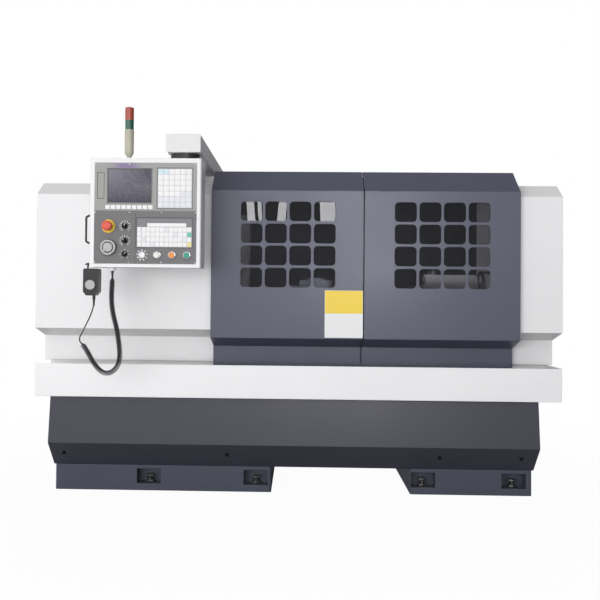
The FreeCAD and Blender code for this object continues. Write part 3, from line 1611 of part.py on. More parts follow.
def boom_post():
    """Column that stands on the headstock, passes through the roof and carries the arm."""
    low = "headstock_top"
    top = "arm_bottom - play - headstock_top"
    roof = "cover_roof - headstock_top"
    pin_top = "arm_bottom + 45 - headstock_top"
    return node("boom_post", turned("boom_post", "Z", ("pivot_x", "pivot_y", low), [
        ("0", "0"), (pin_top, "0"), (pin_top, "swivel_pin"), (top, "swivel_pin"),
        (top, "post_head"), (top + " - 36", "post_head"), (roof + " + 14", "post_radius + 10"),
        (roof, "post_radius + 10"), (roof, "post_radius"), ("18", "post_radius"),
        ("18", "post_flange"), ("0", "post_flange")]))


def boom_arm():
    """Hollow-section arm from the post to the pendant, with a swivel pin at its front end."""
    body = new_body("arm_tube")
    pad(body, "Z", "arm_bottom", "arm_top - arm_bottom",
        box_points("arm_left", "arm_front", "arm_right", "arm_back"))
    soften(body, "arm_round", Vector(0, 1, 0))
    bore(body, "Z", "arm_bottom", "45 + play", "pivot_x", "pivot_y", "swivel_pin + fit")
    sketch = sketch_across(body, "Z", "pendant_top - 30")
    draw_circle(sketch, "pivot_x", "swivel_y", "swivel_pin")
    grow(body, "Pad", sketch, "Z", "arm_bottom - pendant_top + 40")
    return node("boom_arm", body)


def bow_handle(body):
    """Round bar bent to a bow beside the housing, its ends slanting back into the wall."""
    wall = "pendant_left + 2"
    grip = "pendant_left - bow_out"
    ring = sketch_across(body, "X", wall)
    draw_circle(ring, "bow_y", "bow_high", "bow_radius")
    line = sketch_across(body, "Y", "bow_y")
    draw_path(line, [(wall, "bow_high"), (grip, "bow_high - bow_slant"),
                     (grip, "bow_low + bow_slant"), (wall, "bow_low")], closed=False)
    bow = body.newObject("PartDesign::AdditivePipe", "bow")
    bow.Profile = ring
    bow.Spine = (line, ["Edge1", "Edge2", "Edge3"])
    bow.Transition = "Round corner"


def pendant_case():
    """White pendant housing with its swivel collar, grip, bracket, gland and panel recess."""
    body = new_body("pendant_box")
    pad(body, "Z", "pendant_bottom", "pendant_top - pendant_bottom",
        box_points("pendant_left", "pendant_front", "pendant_right", "pendant_back"))
    soften(body, "pendant_round", Vector(0, 0, 1))
    pocket(body, "Y", "pendant_front", "panel_sunk",
           box_points("panel_left", "panel_low", "panel_right", "panel_high"))
    sketch = sketch_across(body, "Z", "pendant_top")
    draw_circle(sketch, "pivot_x", "swivel_y", "collar_radius")
    grow(body, "Pad", sketch, "Z", "arm_bottom - pendant_top - play")
    bore(body, "Z", "pendant_top - 32", "80", "pivot_x", "swivel_y", "swivel_pin + fit")
    bow_handle(body)
    upright = block("bracket_plate", ("pendant_left - 6", "bracket_y - 10", "bracket_low"),
                    ("pendant_left + 1", "bracket_y + 10", "bracket_high"))
    foot = block("bracket_foot", ("pendant_left - bracket_out", "bracket_y - 14", "bracket_low"),
                 ("pendant_left + 1", "bracket_y + 14", "bracket_low + 5"))
    gland = rod("cord_gland", "Z", ("gland_x", "bracket_y", "pendant_bottom - gland_length"),
                "gland_radius", "gland_length + 1")
    whole = join("pendant_whole", body, upright, foot, gland)
    hole = rod("hook_hole", "Z", ("hook_x", "bracket_y", "bracket_low - 5"), "hook_radius + play",
               "20")
    return node("pendant_case", cut("pendant_case", whole, hole))


def key_grid(body, left, low, right, high, columns, rows):
    """Low keys that fill a keypad, in columns and rows."""
    wide = "((%s) - (%s) + key_bar) / %s" % (right, left, columns)
    tall = "((%s) - (%s) + key_bar) / %s" % (high, low, rows)
    key = pad(body, "Y", "panel_face + recess - key_rise", "key_rise + 1", box_points(
        left, low, "%s + %s - key_bar" % (left, wide), "%s + %s - key_bar" % (low, tall)))
    repeat(body, key, [("H_Axis", wide, columns), ("V_Axis", tall, rows)])


def control_unit():
    """Upper unit of the front: display, soft keys, keypad and the seat of the port cover."""
    body = new_body("control_unit")
    pad(body, "Y", "panel_face", "panel_thickness",
        box_points("panel_left", "panel_seam + panel_joint / 2", "panel_right", "panel_high"))
    pocket(body, "Y", "panel_face", "recess",
           box_points("screen_left", "screen_low", "screen_right", "screen_high"))
    pocket(body, "Y", "panel_face", "recess", box_points(
        "keypad_left - key_bar", "keypad_low - key_bar", "keypad_right + key_bar",
        "keypad_high + key_bar"))
    pocket(body, "Y", "panel_face", "2 * port_pin + play", box_points(
        "port_left - play", "port_low - play", "port_right + play", "port_high + play"))
    wide = "((soft_key_right - soft_key_left + soft_key_bar) / soft_keys)"
    key = pad(body, "Y", "panel_face - 1", "2", box_points(
        "soft_key_left", "soft_key_low", "soft_key_left + %s - soft_key_bar" % wide,
        "soft_key_high"))
    repeat(body, key, [("H_Axis", wide, "soft_keys")])
    key_grid(body, "keypad_left", "keypad_low", "keypad_right", "keypad_high", "keypad_columns",
             "keypad_rows")
    return node("control_unit", body)


def port_cover():
    """Small flap over the data port, hinged along its left edge."""
    axis = ("port_left + port_pin", "panel_face + port_pin", "port_low")
    flap = block("port_flap", ("port_left + port_pin", "panel_face", "port_low"),
                 ("port_right", "panel_face + 2 * port_pin", "port_high"))
    hinge = rod("port_hinge", "Z", axis, "port_pin", "port_high - port_low")
    return node("port_cover", join("port_cover", flap, hinge))


BUTTONS = ("white_button_x", "orange_button_x", "green_button_x")
KNOBS = ("feed_knob_z", "speed_knob_z", "mode_knob_z")


def ring_on_panel(body, x, z, radius, height):
    sketch = sketch_across(body, "Y", "panel_face - " + height)
    draw_circle(sketch, x, z, radius)
    grow(body, "Pad", sketch, "Y", height + " + 1")


def operator_panel():
    """Lower unit of the front: membrane keys, dials and the bezels of switches and buttons."""
    body = new_body("operator_panel")
    pad(body, "Y", "panel_face", "panel_thickness",
        box_points("panel_left", "panel_low", "panel_right", "panel_seam - panel_joint / 2"))
    pocket(body, "Y", "panel_face", "recess",
           box_points("board_left", "board_low", "board_right", "board_high"))
    ring_on_panel(body, "stop_x", "stop_z", "stop_ring", "3")
    ring_on_panel(body, "stop_x", "stop_z", "stop_neck + 5", "stop_collar")
    for z in KNOBS:
        ring_on_panel(body, "knob_x", z, "dial_radius", "dial_height")
    for x in BUTTONS + ("key_switch_x",):
        ring_on_panel(body, x, "button_z", "bezel_radius", "bezel_height")
    depth = "stop_collar + panel_thickness"
    start = "panel_face - stop_collar"
    for x in BUTTONS + ("key_switch_x",):
        bore(body, "Y", start, depth, x, "button_z", "button_radius + play")
    bore(body, "Y", start, depth, "stop_x", "stop_z", "stop_neck + play")
    bore(body, "Y", start, depth, "pulse_x", "pulse_z", "5 + play")
    for z in KNOBS:
        bore(body, "Y", start, depth, "knob_x", z, "4 + play")
    key_grid(body, "board_left + key_bar", "board_low + key_bar", "board_right - key_bar",
             "board_key_high", "board_columns", "board_rows")
    return node("operator_panel", body)


def emergency_stop_button():
    """Red mushroom head on a neck that slides in the panel."""
    front = "panel_face - stop_proud"
    back = "panel_back - press - play - (%s)" % front
    return node("emergency_stop_button", turned("emergency_stop_button", "Y",
                ("stop_x", front, "stop_z"), [
        ("0", "0"), (back, "0"), (back, "stop_neck"), ("stop_height * 0.4", "stop_neck"),
        ("stop_height * 0.4", "stop_radius - 3"), ("stop_height * 0.25", "stop_radius"),
        ("stop_height * 0.12", "stop_radius - 2"), ("stop_height * 0.03", "stop_radius * 0.55")]))


def push_button(name, x):
    """Button cap that travels inside its bezel."""
    front = "panel_face - bezel_height - button_proud"
    back = "panel_back - press - play - (%s)" % front
    return node(name, turned(name, "Y", (x, front, "button_z"), [
        ("0", "0"), (back, "0"), (back, "button_radius"), ("2", "button_radius"),
        ("0", "button_radius - 2")]))


def pulse_handwheel():
    """Hand pulse wheel: a rimmed disc with a small spinner knob, on a shaft in the panel."""
    front = "panel_face - 2 - pulse_height"
    back = "panel_back - play - (%s)" % front
    disc = turned("pulse_disc", "Y", ("pulse_x", front, "pulse_z"), [
        ("0", "0"), (back, "0"), (back, "5"), ("pulse_height", "5"),
        ("pulse_height", "pulse_radius"), ("5", "pulse_radius"), ("2", "pulse_radius - 3"),
        ("2", "pulse_radius * 0.62"), ("0", "pulse_radius * 0.55")])
    spinner = rod("pulse_spinner", "Y", ("pulse_x - pulse_radius * 0.45", front + " - 8",
                                         "pulse_z - pulse_radius * 0.45"), "5", "12")
    return node("pulse_handwheel", join("pulse_handwheel", disc, spinner))


def pointer_knob(name, z):
    """Rotary switch knob: a round skirt with a pointer grip across it."""
    base = "panel_face - dial_height - play"
    skirt = turned(name + "_skirt", "Y", ("knob_x", base + " - knob_height", z), [
        ("0", "0"), ("knob_height + dial_height + play * 2 + 4", "0"),
        ("knob_height + dial_height + play * 2 + 4", "4"), ("knob_height", "4"),
        ("knob_height", "knob_radius"), ("8", "knob_radius - 1"), ("8", "5"), ("0", "5")])
    grip = block(name + "_grip", ("knob_x - 4", base + " - knob_height", z + " - knob_radius + 1"),
                 ("knob_x + 4", base + " - 4", z + " + knob_radius - 1"))
    return node(name, join(name, skirt, grip))


def key_switch():
    """Key switch: a barrel in the bezel with its key standing out."""
    front = "panel_face - bezel_height - 2"
    back = "panel_back - play - (%s)" % front
    barrel = turned("key_barrel", "Y", ("key_switch_x", front, "button_z"), [
        ("0", "0"), (back, "0"), (back, "button_radius"), ("1", "button_radius"),
        ("0", "button_radius - 1")])
    key = block("key_blade", ("key_switch_x - 1", front + " - 20", "button_z - 10"),
                ("key_switch_x + 1", front + " + 1", "button_z + 10"))
    return node("key_switch", join("key_switch", barrel, key))


def signal_tower():
    """Stack light on the pendant: a stem with its cone, the base, and two lenses."""
    base = turned("tower_base", "Z", ("tower_x", "tower_y", "pendant_top"), [
        ("0", "0"), ("tower_green - pendant_top", "0"), ("tower_green - pendant_top", "tower_radius"),
        ("tower_foot - pendant_top", "tower_radius"), ("tower_foot - pendant_top - 18", "8"),
        ("4", "8"), ("4", "14"), ("0", "14")])
    green = turned("tower_green_lens", "Z", ("tower_x", "tower_y", "tower_green"), [
        ("0", "0"), ("tower_red - tower_green", "0"),
        ("tower_red - tower_green", "tower_radius - 1"), ("0", "tower_radius - 1")])
    red = turned("tower_red_lens", "Z", ("tower_x", "tower_y", "tower_red"), [
        ("0", "0"), ("tower_top - tower_red", "0"), ("tower_top - tower_red", "tower_radius - 7"),
        ("tower_top - tower_red - 3", "tower_radius - 2"),
        ("tower_top - tower_red - 8", "tower_radius - 1"), ("0", "tower_radius - 1")])
    return node("signal_tower", group("signal_tower", base, green, red))


def hand_unit():
    """Hand-held pulse unit hooked to the pendant's bracket, its cord gland below."""
    body = new_body("hand_box")
    left = "hand_x - hand_half_width"
    right = "hand_x + hand_half_width"
    front = "bracket_y - hand_half_depth"
    back = "bracket_y + hand_half_depth"
    pad(body, "Y", front, "2 * hand_half_depth", [
        (left, "hand_low + 18"), (left + " + 14", "hand_low"), (right + " - 14", "hand_low"),
        (right, "hand_low + 18"), (right, "hand_high"), (left, "hand_high")])
    soften(body, "8", Vector(0, 1, 0))
    bore(body, "Y", front, "12", "hand_x", "hand_low + 48", "5 + play")
    spot = ("hook_x", "bracket_y")
    stem = rod("hook_stem", "Z", spot + ("hand_high - 2",), "hook_radius",
               "bracket_low + 5 - hand_high + 6")
    head = rod("hook_head", "Z", spot + ("bracket_low + 5 + play",), "hook_radius * 2", "5")
    gland = rod("lead_gland", "Z", ("lead_gland_x", "bracket_y", "hand_low - lead_gland_length"),
                "lead_gland_radius", "lead_gland_length + 1")
    return node("hand_unit", join("hand_unit", body, stem, head, gland))


def hand_unit_dial():
    """Pulse dial of the hand unit, on a shaft in its face."""
    front = "bracket_y - hand_half_depth - play - hand_dial_height"
    end = "hand_dial_height + play + 11"
    return node("hand_unit_dial", turned("hand_unit_dial", "Y", ("hand_x", front, "hand_low + 48"), [
        ("0", "0"), (end, "0"), (end, "5"), ("hand_dial_height", "5"),
        ("hand_dial_height", "hand_dial_radius"), ("3", "hand_dial_radius"),
        ("0", "hand_dial_radius - 3")]))


# ---------------------------------------------------------------- cord

# The curly cord hangs from the pendant's gland, turns at the bottom and rises to its left end.
COIL_ROUTE = [(-838, 1083), (-838, 1025), (-842, 958), (-834, 887), (-817, 830), (-807, 775),
              (-799, 716), (-802, 662), (-828, 626), (-865, 615), (-900, 638), (-932, 685),
              (-952, 725), (-974, 751)]
# The straight lead goes on from the coil's end to the gland of the hand unit.
LEAD_ROUTE = [(-974, 751), (-985, 764), (-984, 782), (-972, 801), (-961, 827), (-947, 854),
              (-933, 886), (-921, 924), (-921, 954)]


def cord_tube(name, route, diameter):
    """A round tube along straight runs joined by tangent arcs, in the plane of the bracket."""
    plane = number("bracket_y")
    spots = [Vector(x, plane, z) for x, z in route]
    edges = []
    radii = []
    last = spots[0]
    for before, corner, after in zip(spots, spots[1:], spots[2:]):
        into = (corner - before).normalize()
        away = (after - corner).normalize()
        turn = into.getAngle(away)
        reach = 0.45 * min((corner - before).Length, (after - corner).Length)
        radii.append(reach / math.tan(turn / 2))
        start = corner - into * reach
        finish = corner + away * reach
        inner = away - into
        centre = start + (inner - into * inner.dot(into)).normalize() * radii[-1]
        middle = centre + (corner - centre).normalize() * radii[-1]
        edges.append(Part.LineSegment(last, start).toShape())
        edges.append(Part.Arc(start, middle, finish).toShape())
        last = finish
    edges.append(Part.LineSegment(last, spots[-1]).toShape())
    path = Part.Wire(edges)
    radius = number(diameter) / 2
    ring = Part.Wire([Part.makeCircle(radius, spots[0], (spots[1] - spots[0]).normalize())])
    tube = path.makePipeShell([ring], True, False)
    cord = doc.addObject("Part::Feature", name)
    cord.Shape = tube
    print(name, "length", round(path.Length, 1), "volume ratio",
          round(tube.Volume / (math.pi * radius ** 2 * path.Length), 4),
          "radii", [round(value) for value in radii])
    return node(name, cord)


# ---------------------------------------------------------------- assembly

def build():
    fill_sheet()
    doc.recompute()
    pedestal("left_pedestal", "left_pedestal_start", "left_pedestal_length",
             ("left_foot_one", "left_foot_two"))
    pedestal("right_pedestal", "right_pedestal_start", "right_pedestal_length",
             ("right_foot_one", "right_foot_two"))
    levelling_screws()
    front_skirt()
    chip_tray()
    bed()
    headstock()
    spindle_bearings()
    spindle()
    node("spindle_pulley", grooved_pulley(
        "spindle_pulley", ("pulley_start", "0", "spindle_height"), "spindle_pulley_radius",
        "spindle_tail_radius + fit"))
    chuck_body()
    for index in range(3):
        chuck_jaw(index)
    main_motor()
    motor_pulley()
    drive_belt()
    headstock_cover()
    end_cover()
    rear_guard()
    door_rails()
    sliding_door("left_door", "door_left", "door_seam - door_gap / 2", "glide_inset", "pane_left")
    sliding_door("right_door", "door_seam + door_gap / 2", "door_right", "right_glide_inset",
                 "pane_right")
    door_window("left_window", "pane_left")
    door_window("right_window", "pane_right")
    z_screw()
    servo_motor("z_motor", "X", ("screw_end", "screw_y", "screw_z"), "screw_journal + fit")
    saddle()
    x_screw()
    servo_motor("x_motor", "Y", ("carriage_x", "saddle_half_width", "cross_screw_z"),
                "cross_journal + fit")
    cross_slide()
    tool_turret()
    tailstock()
    tailstock_quill()
    tailstock_handwheel()
    quill_clamp_lever()
    electrical_cabinet()
    cabinet_door()
    main_switch()
    coolant_tank()
    boom_post()
    boom_arm()
    pendant_case()
    control_unit()
    port_cover()
    operator_panel()
    emergency_stop_button()
    pulse_handwheel()
    pointer_knob("feed_override_knob", "feed_knob_z")
    pointer_knob("spindle_override_knob", "speed_knob_z")
    pointer_knob("mode_knob", "mode_knob_z")
    key_switch()
    push_button("white_button", "white_button_x")
    push_button("orange_button", "orange_button_x")
    push_button("green_button", "green_button_x")
    signal_tower()
    hand_unit()
    hand_unit_dial()
    cord_tube("cord_coil", COIL_ROUTE, "coil_diameter")
    cord_tube("cord_lead", LEAD_ROUTE, "lead_diameter")


def export():
    """Check every object, then write each piece to its own file."""
    doc.recompute()
    for item in doc.Objects:
        if "Invalid" in item.State or "Error" in item.State:
            raise RuntimeError("%s: %s" % (item.Label, item.State))
    os.makedirs("parts", exist_ok=True)
    for name, item in nodes.items():
        shape = item.Shape
        if shape.isNull() or not shape.isValid() or not shape.Solids:
            raise RuntimeError("%s has no valid shape" % name)
    for name, item in nodes.items():
        item.Shape.exportStep("parts/%s.step" % name)
    print(len(nodes), "nodes")


build()
export()
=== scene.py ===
"""Looks for the flat-bed turning lathe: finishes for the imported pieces, and the pieces on top.

Metres, in the lathe's own frame: +X from headstock to tailstock, +Y to the rear, +Z up.
"""
import math

import bmesh
import bpy
from mathutils import Matrix, Vector


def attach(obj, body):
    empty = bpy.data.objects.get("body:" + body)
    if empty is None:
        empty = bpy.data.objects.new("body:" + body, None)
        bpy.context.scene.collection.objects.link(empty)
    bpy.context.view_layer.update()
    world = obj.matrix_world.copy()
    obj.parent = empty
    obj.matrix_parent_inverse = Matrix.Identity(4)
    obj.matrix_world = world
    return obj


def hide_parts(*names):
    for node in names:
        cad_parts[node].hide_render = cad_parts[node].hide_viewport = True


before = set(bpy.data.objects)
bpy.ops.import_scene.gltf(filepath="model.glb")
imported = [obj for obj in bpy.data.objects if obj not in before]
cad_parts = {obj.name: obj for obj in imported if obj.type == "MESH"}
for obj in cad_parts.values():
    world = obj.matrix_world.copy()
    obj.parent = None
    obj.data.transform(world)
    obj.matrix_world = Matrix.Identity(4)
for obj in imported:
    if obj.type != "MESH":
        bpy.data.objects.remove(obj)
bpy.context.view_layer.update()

scene = bpy.context.scene
scene.view_settings.view_transform = "Standard"

# ------------------------ camera
# Held about a metre above the floor in front of the machine's middle, 3.3 m from the pendant,
# with a lens of about 45 mm. The small shift frames the machine as the photograph does.
stands_at = (0.0097, -4.0863, 0.9831)
pan, tilt, roll = 0.0234, 0.0168, -0.0093
camera_data = bpy.data.cameras.new("camera")
camera_data.sensor_width = 36.0
camera_data.lens = 44.64
camera_data.shift_x = 0.0303
camera_data.shift_y = -0.0302
camera_data.clip_end = 50.0
camera = bpy.data.objects.new("camera", camera_data)
camera.matrix_world = (Matrix.Translation(stands_at) @ Matrix.Rotation(pan, 4, "Z")
                       @ Matrix.Rotation(tilt, 4, "X") @ Matrix.Rotation(roll, 4, "Y")
                       @ Matrix.Rotation(math.pi / 2, 4, "X"))
scene.collection.objects.link(camera)
scene.camera = camera

# ------------------------ hand unit's curly cord
# A black spiral cord hangs from the gland under the pendant, turns near the tray and comes back
# up to the hand unit. Its last stretch is the straight lead. The turns follow a smooth line.
cord_y = -0.73
coil_route = [(x, cord_y, z) for x, z in (
    (-0.838, 1.083), (-0.838, 1.025), (-0.842, 0.958), (-0.834, 0.887), (-0.817, 0.830),
    (-0.807, 0.775), (-0.799, 0.716), (-0.802, 0.662), (-0.828, 0.626), (-0.865, 0.615),
    (-0.900, 0.638), (-0.932, 0.685), (-0.952, 0.725), (-0.974, 0.751))]
lead_route = [(x, cord_y, z) for x, z in (
    (-0.974, 0.751), (-0.985, 0.764), (-0.984, 0.782), (-0.972, 0.801), (-0.961, 0.827),
    (-0.947, 0.854), (-0.933, 0.886), (-0.921, 0.924), (-0.921, 0.954))]
wire_thickness = 0.006
coil_thickness = 0.025
turn_pitch = 0.0082
steps_a_turn = 14
relief_length = 0.030
opens_over = 0.015
closes_over = 0.008


def smooth_curve(name, points, resolution):
    """A smooth line through a route's control points."""
    curve = bpy.data.curves.new(name, "CURVE")
    curve.dimensions = "3D"
    curve.resolution_u = resolution
    line = curve.splines.new("NURBS")
    line.points.add(len(points) - 1)
    for knot, place in zip(line.points, points):
        knot.co = (*place, 1.0)
    line.order_u = 3
    line.use_endpoint_u = True
    thing = bpy.data.objects.new(name, curve)
    scene.collection.objects.link(thing)
    return thing


def places_along(points, resolution):
    """The places along the smooth line of a route, in order."""
    thing = smooth_curve("route", points, resolution)
    bpy.context.view_layer.update()
    line = bpy.data.meshes.new_from_object(thing)
    places = [vertex.co.copy() for vertex in line.vertices]
    bpy.data.meshes.remove(line)
    bpy.data.objects.remove(thing)
    return places


middle = places_along(coil_route, 24)
gone = [0.0]
for near, far in zip(middle, middle[1:]):
    gone.append(gone[-1] + (far - near).length)
steps = int(steps_a_turn * gone[-1] / turn_pitch)
wire_route = []
index = 0
for step in range(steps + 1):
    along = gone[-1] * step / steps
    while index < len(gone) - 2 and gone[index + 1] < along:
        index += 1
    share = (along - gone[index]) / max(gone[index + 1] - gone[index], 1e-9)
    centre = middle[index].lerp(middle[index + 1], share)
    heading = (middle[index + 1] - middle[index]).normalized()
    across = heading.cross(Vector((0, 1, 0))).normalized()
    # the cord leaves its relief straight, then opens out to the full turns
    width = (coil_thickness - wire_thickness) / 2 * max(0.0, min(
        1.0, (along - relief_length) / opens_over, (gone[-1] - along) / closes_over))
    angle = 2 * math.pi * along / turn_pitch
    spoke = across * math.cos(angle) + Vector((0, 1, 0)) * math.sin(angle)
    wire_route.append(tuple(centre + spoke * width))
wire_route += lead_route[1:]
hand_cord = smooth_curve("hand_cord", wire_route, 4)
hand_cord.data.bevel_depth = wire_thickness / 2
hand_cord.data.bevel_resolution = 3
cord_places = places_along(wire_route, 4)


def new_finish(name):
    """A material, its nodes and its shader."""
    finish = bpy.data.materials.new(name)
    finish.use_nodes = True
    return finish, finish.node_tree, finish.node_tree.nodes["Principled BSDF"]


def fill(web, node, given):
    """Set a node's inputs to values, or link them to other nodes' outputs."""
    for name, value in given.items():
        if isinstance(value, bpy.types.NodeSocket):
            web.links.new(value, node.inputs[name])
        else:
            node.inputs[name].default_value = value
    return node


def add_node(web, kind, given=None, **settings):
    """A shader node with its settings and its filled inputs."""
    node = web.nodes.new("ShaderNode" + kind)
    for name, setting in settings.items():
        setattr(node, name, setting)
    return fill(web, node, given or {})


def own_place(web):
    """The coordinates of the machine's own frame, which every piece shares."""
    return add_node(web, "TexCoord").outputs["Object"]


def noise(web, place, scale, detail, distortion=0.0):
    """A cloudy pattern on those coordinates."""
    return add_node(web, "TexNoise", {"Vector": place, "Scale": scale, "Detail": detail,
                                      "Distortion": distortion}).outputs["Fac"]


def ranged(web, value, low, high, first=0.0, last=1.0):
    """A value mapped from one range to another."""
    return add_node(web, "MapRange", {"Value": value, "From Min": low, "From Max": high,
                                      "To Min": first, "To Max": last}).outputs["Result"]


def ramped(web, value, *stops):
    """A value turned into the colours of its stops."""
    ramp = add_node(web, "ValToRGB", {"Fac": value})
    marks = ramp.color_ramp.elements
    marks.remove(marks[1])
    marks[0].position = stops[0][0]
    marks[0].color = (*stops[0][1], 1)
    for place, colour in stops[1:]:
        marks.new(place).color = (*colour, 1)
    return ramp.outputs["Color"]


cord_rubber, web, skin = new_finish("cord_rubber")
scuff = noise(web, own_place(web), 160.0, 4.0)
fill(web, skin, {
    "Base Color": ramped(web, scuff, (0.35, (0.020, 0.020, 0.022)), (0.75, (0.042, 0.043, 0.047))),
    "Roughness": ranged(web, scuff, 0.0, 1.0, 0.22, 0.40)})
hand_cord.data.materials.append(cord_rubber)


def add_part(shape, part, turn=None):
    """Put a finished part into a larger shape."""
    if turn is not None:
        bmesh.ops.transform(part, matrix=turn, verts=part.verts)
    spare = bpy.data.meshes.new("spare")
    part.to_mesh(spare)
    part.free()
    shape.from_mesh(spare)
    bpy.data.meshes.remove(spare)


def add_turned(shape, outline, axis, start, steps=48, turn=None):
    """Spin (distance, radius) points about an axis and add the result."""
    part = bmesh.new()
    rim = [part.verts.new((along, 0, radius)) for along, radius in outline]
    line = [part.edges.new(pair) for pair in zip(rim, rim[1:])]
    bmesh.ops.spin(part, geom=rim + line, cent=(0, 0, 0), axis=(1, 0, 0), angle=2 * math.pi,
                   steps=steps, use_merge=True)
    bmesh.ops.remove_doubles(part, verts=part.verts, dist=1e-6)
    bmesh.ops.dissolve_degenerate(part, edges=part.edges, dist=1e-7)
    bmesh.ops.recalc_face_normals(part, faces=part.faces)
    place = Matrix.Translation(start)
    if axis == "Y":
        place = place @ Matrix.Rotation(math.pi / 2, 4, "Z")
    if axis == "Z":
        place = place @ Matrix.Rotation(-math.pi / 2, 4, "Y")
    add_part(shape, part, place if turn is None else turn @ place)


def turned_about(place, angle):
    """A turn about a line through a place, along the machine."""
    return (Matrix.Translation(place) @ Matrix.Rotation(angle, 4, "X")
            @ Matrix.Translation(place).inverted())


def make_piece(name, shape, body, finish):
    """A piece with its finish, and the body of the machine that it rides on."""
    bmesh.ops.recalc_face_normals(shape, faces=shape.faces)
    mesh = bpy.data.meshes.new(name)
    shape.to_mesh(mesh)
    shape.free()
    mesh.shade_smooth()
    mesh.set_sharp_from_angle(angle=math.radians(35))
    mesh.materials.append(finish)
    thing = bpy.data.objects.new(name, mesh)
    scene.collection.objects.link(thing)
    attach(thing, body)
    return thing


def make_turned(name, outline, axis, start, body, finish, steps=48):
    """One turned shape as a piece."""
    shape = bmesh.new()
    add_turned(shape, outline, axis, start, steps)
    return make_piece(name, shape, body, finish)


# A moulded relief with grooves keeps the cord from kinking at each gland.
for name, top, wide in (("pendant_relief", coil_route[0], 0.0072),
                        ("hand_relief", lead_route[-1], 0.0060)):
    sleeve = bmesh.new()
    outline = [(0.0, 0.0), (0.0, wide)]
    for groove in range(4):
        along = 0.003 + groove * 0.006
        thick = wide - (wide - 0.0040) * along / relief_length
        outline += [(along, thick), (along + 0.0006, thick - 0.0010),
                    (along + 0.0020, thick - 0.0012), (along + 0.0026, thick - 0.0004)]
    outline += [(relief_length - 0.001, 0.0042), (relief_length, 0.0034), (relief_length, 0.0)]
    add_turned(sleeve, outline, "Z", top, steps=24, turn=turned_about(top, math.pi))
    make_piece(name, sleeve, "pendant", cord_rubber)
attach(hand_cord, "pendant")
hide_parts("cord_coil", "cord_lead")

# ------------------------ floor, backdrop and light
# A plain pale floor that runs into a white background, which the camera sees as white. Near the
# machine the floor is a shade greyer, so that its shadow shows.
floor_shape = bmesh.new()
bmesh.ops.create_grid(floor_shape, x_segments=1, y_segments=1, size=14.0)
floor_mesh = bpy.data.meshes.new("floor")
floor_shape.to_mesh(floor_mesh)
floor_shape.free()
floor = bpy.data.objects.new("floor", floor_mesh)
scene.collection.objects.link(floor)


def combine(web, operation, first, second):
    """Two values put together."""
    return add_node(web, "Math", {0: first, 1: second}, operation=operation).outputs["Value"]


def seen_as(web, share, lit, plain, kind):
    """What light falls on, and what a share of the rays sees in its place."""
    blend = add_node(web, "MixShader", {"Fac": share, 1: lit.outputs[0], 2: plain.outputs[0]})
    add_node(web, kind, {"Surface": blend.outputs["Shader"]})


floor_paint = bpy.data.materials.new("floor_paint")
floor_paint.use_nodes = True
web = floor_paint.node_tree
web.nodes.clear()
away = add_node(web, "VectorMath", {0: own_place(web)}, operation="LENGTH").outputs["Value"]
seen = combine(web, "MULTIPLY", ranged(web, away, 1.2, 3.0, 0.97, 1.0),
               add_node(web, "LightPath").outputs["Is Camera Ray"])
seen_as(web, seen, add_node(web, "BsdfDiffuse", {"Color": (0.50, 0.50, 0.51, 1)}),
        add_node(web, "Emission", {"Strength": 1.0}), "OutputMaterial")
floor_mesh.materials.append(floor_paint)

# The studio is brightest in front of the machine, dimmer overhead and dim on the tailstock side,
# so what slopes up or faces that side is darker than what faces the camera. Clear panes mirror
# it faintly, and stay dark.
sky = bpy.data.worlds.new("studio")
scene.world = sky
sky.use_nodes = True
web = sky.node_tree
web.nodes.clear()
facing = add_node(web, "SeparateXYZ", {
    "Vector": add_node(web, "TexCoord").outputs["Generated"]}).outputs
front = ranged(web, facing["Y"], 0.6, -1.0, 0.42, 1.80)
overhead = ranged(web, facing["Z"], 0.0, 1.0, 1.0, 0.42)
beside = ranged(web, facing["X"], 0.10, 0.75, 1.0, 0.17)
ray = add_node(web, "LightPath").outputs
mirrored = ranged(web, ray["Is Singular Ray"], 0.0, 1.0, 1.0, 0.26)
shaded = combine(web, "MULTIPLY", combine(web, "MULTIPLY", front, overhead), beside)
soft = add_node(web, "Background", {"Color": (0.98, 0.985, 1.0, 1),
                                    "Strength": combine(web, "MULTIPLY", shaded, mirrored)})
seen_as(web, combine(web, "MAXIMUM", ray["Is Camera Ray"], ray["Is Transmission Ray"]), soft,
        add_node(web, "Background", {"Color": (1.0, 1.0, 1.0, 1)}), "OutputWorld")


def studio_lamp(name, place, aim, width, height, power):
    """A wide soft lamp that looks at a point."""
    lamp_data = bpy.data.lights.new(name, "AREA")
    lamp_data.shape = "RECTANGLE"
    lamp_data.size = width
    lamp_data.size_y = height
    lamp_data.energy = power
    lamp = bpy.data.objects.new(name, lamp_data)
    lamp.location = place
    lamp.rotation_euler = (Vector(aim) - Vector(place)).to_track_quat("-Z", "Y").to_euler()
    scene.collection.objects.link(lamp)
    return lamp


# Four wide lamps light the machine from the front left, the front right, the right and behind.
front_lamp = studio_lamp("front_lamp", (-2.1, -5.4, 0.95), (0, 0, 0.7), 3.2, 2.0, 105)
front_lamp.visible_glossy = False
studio_lamp("right_lamp", (4.2, -5.0, 2.0), (0.6, 0, 0.8), 2.6, 2.6, 8)
studio_lamp("side_lamp", (4.4, 2.4, 0.65), (1.2, 0, 0.8), 2.2, 1.2, 60)
studio_lamp("rear_lamp", (-2.6, 4.8, 2.1), (0, 0, 0.9), 3.6, 1.8, 95)
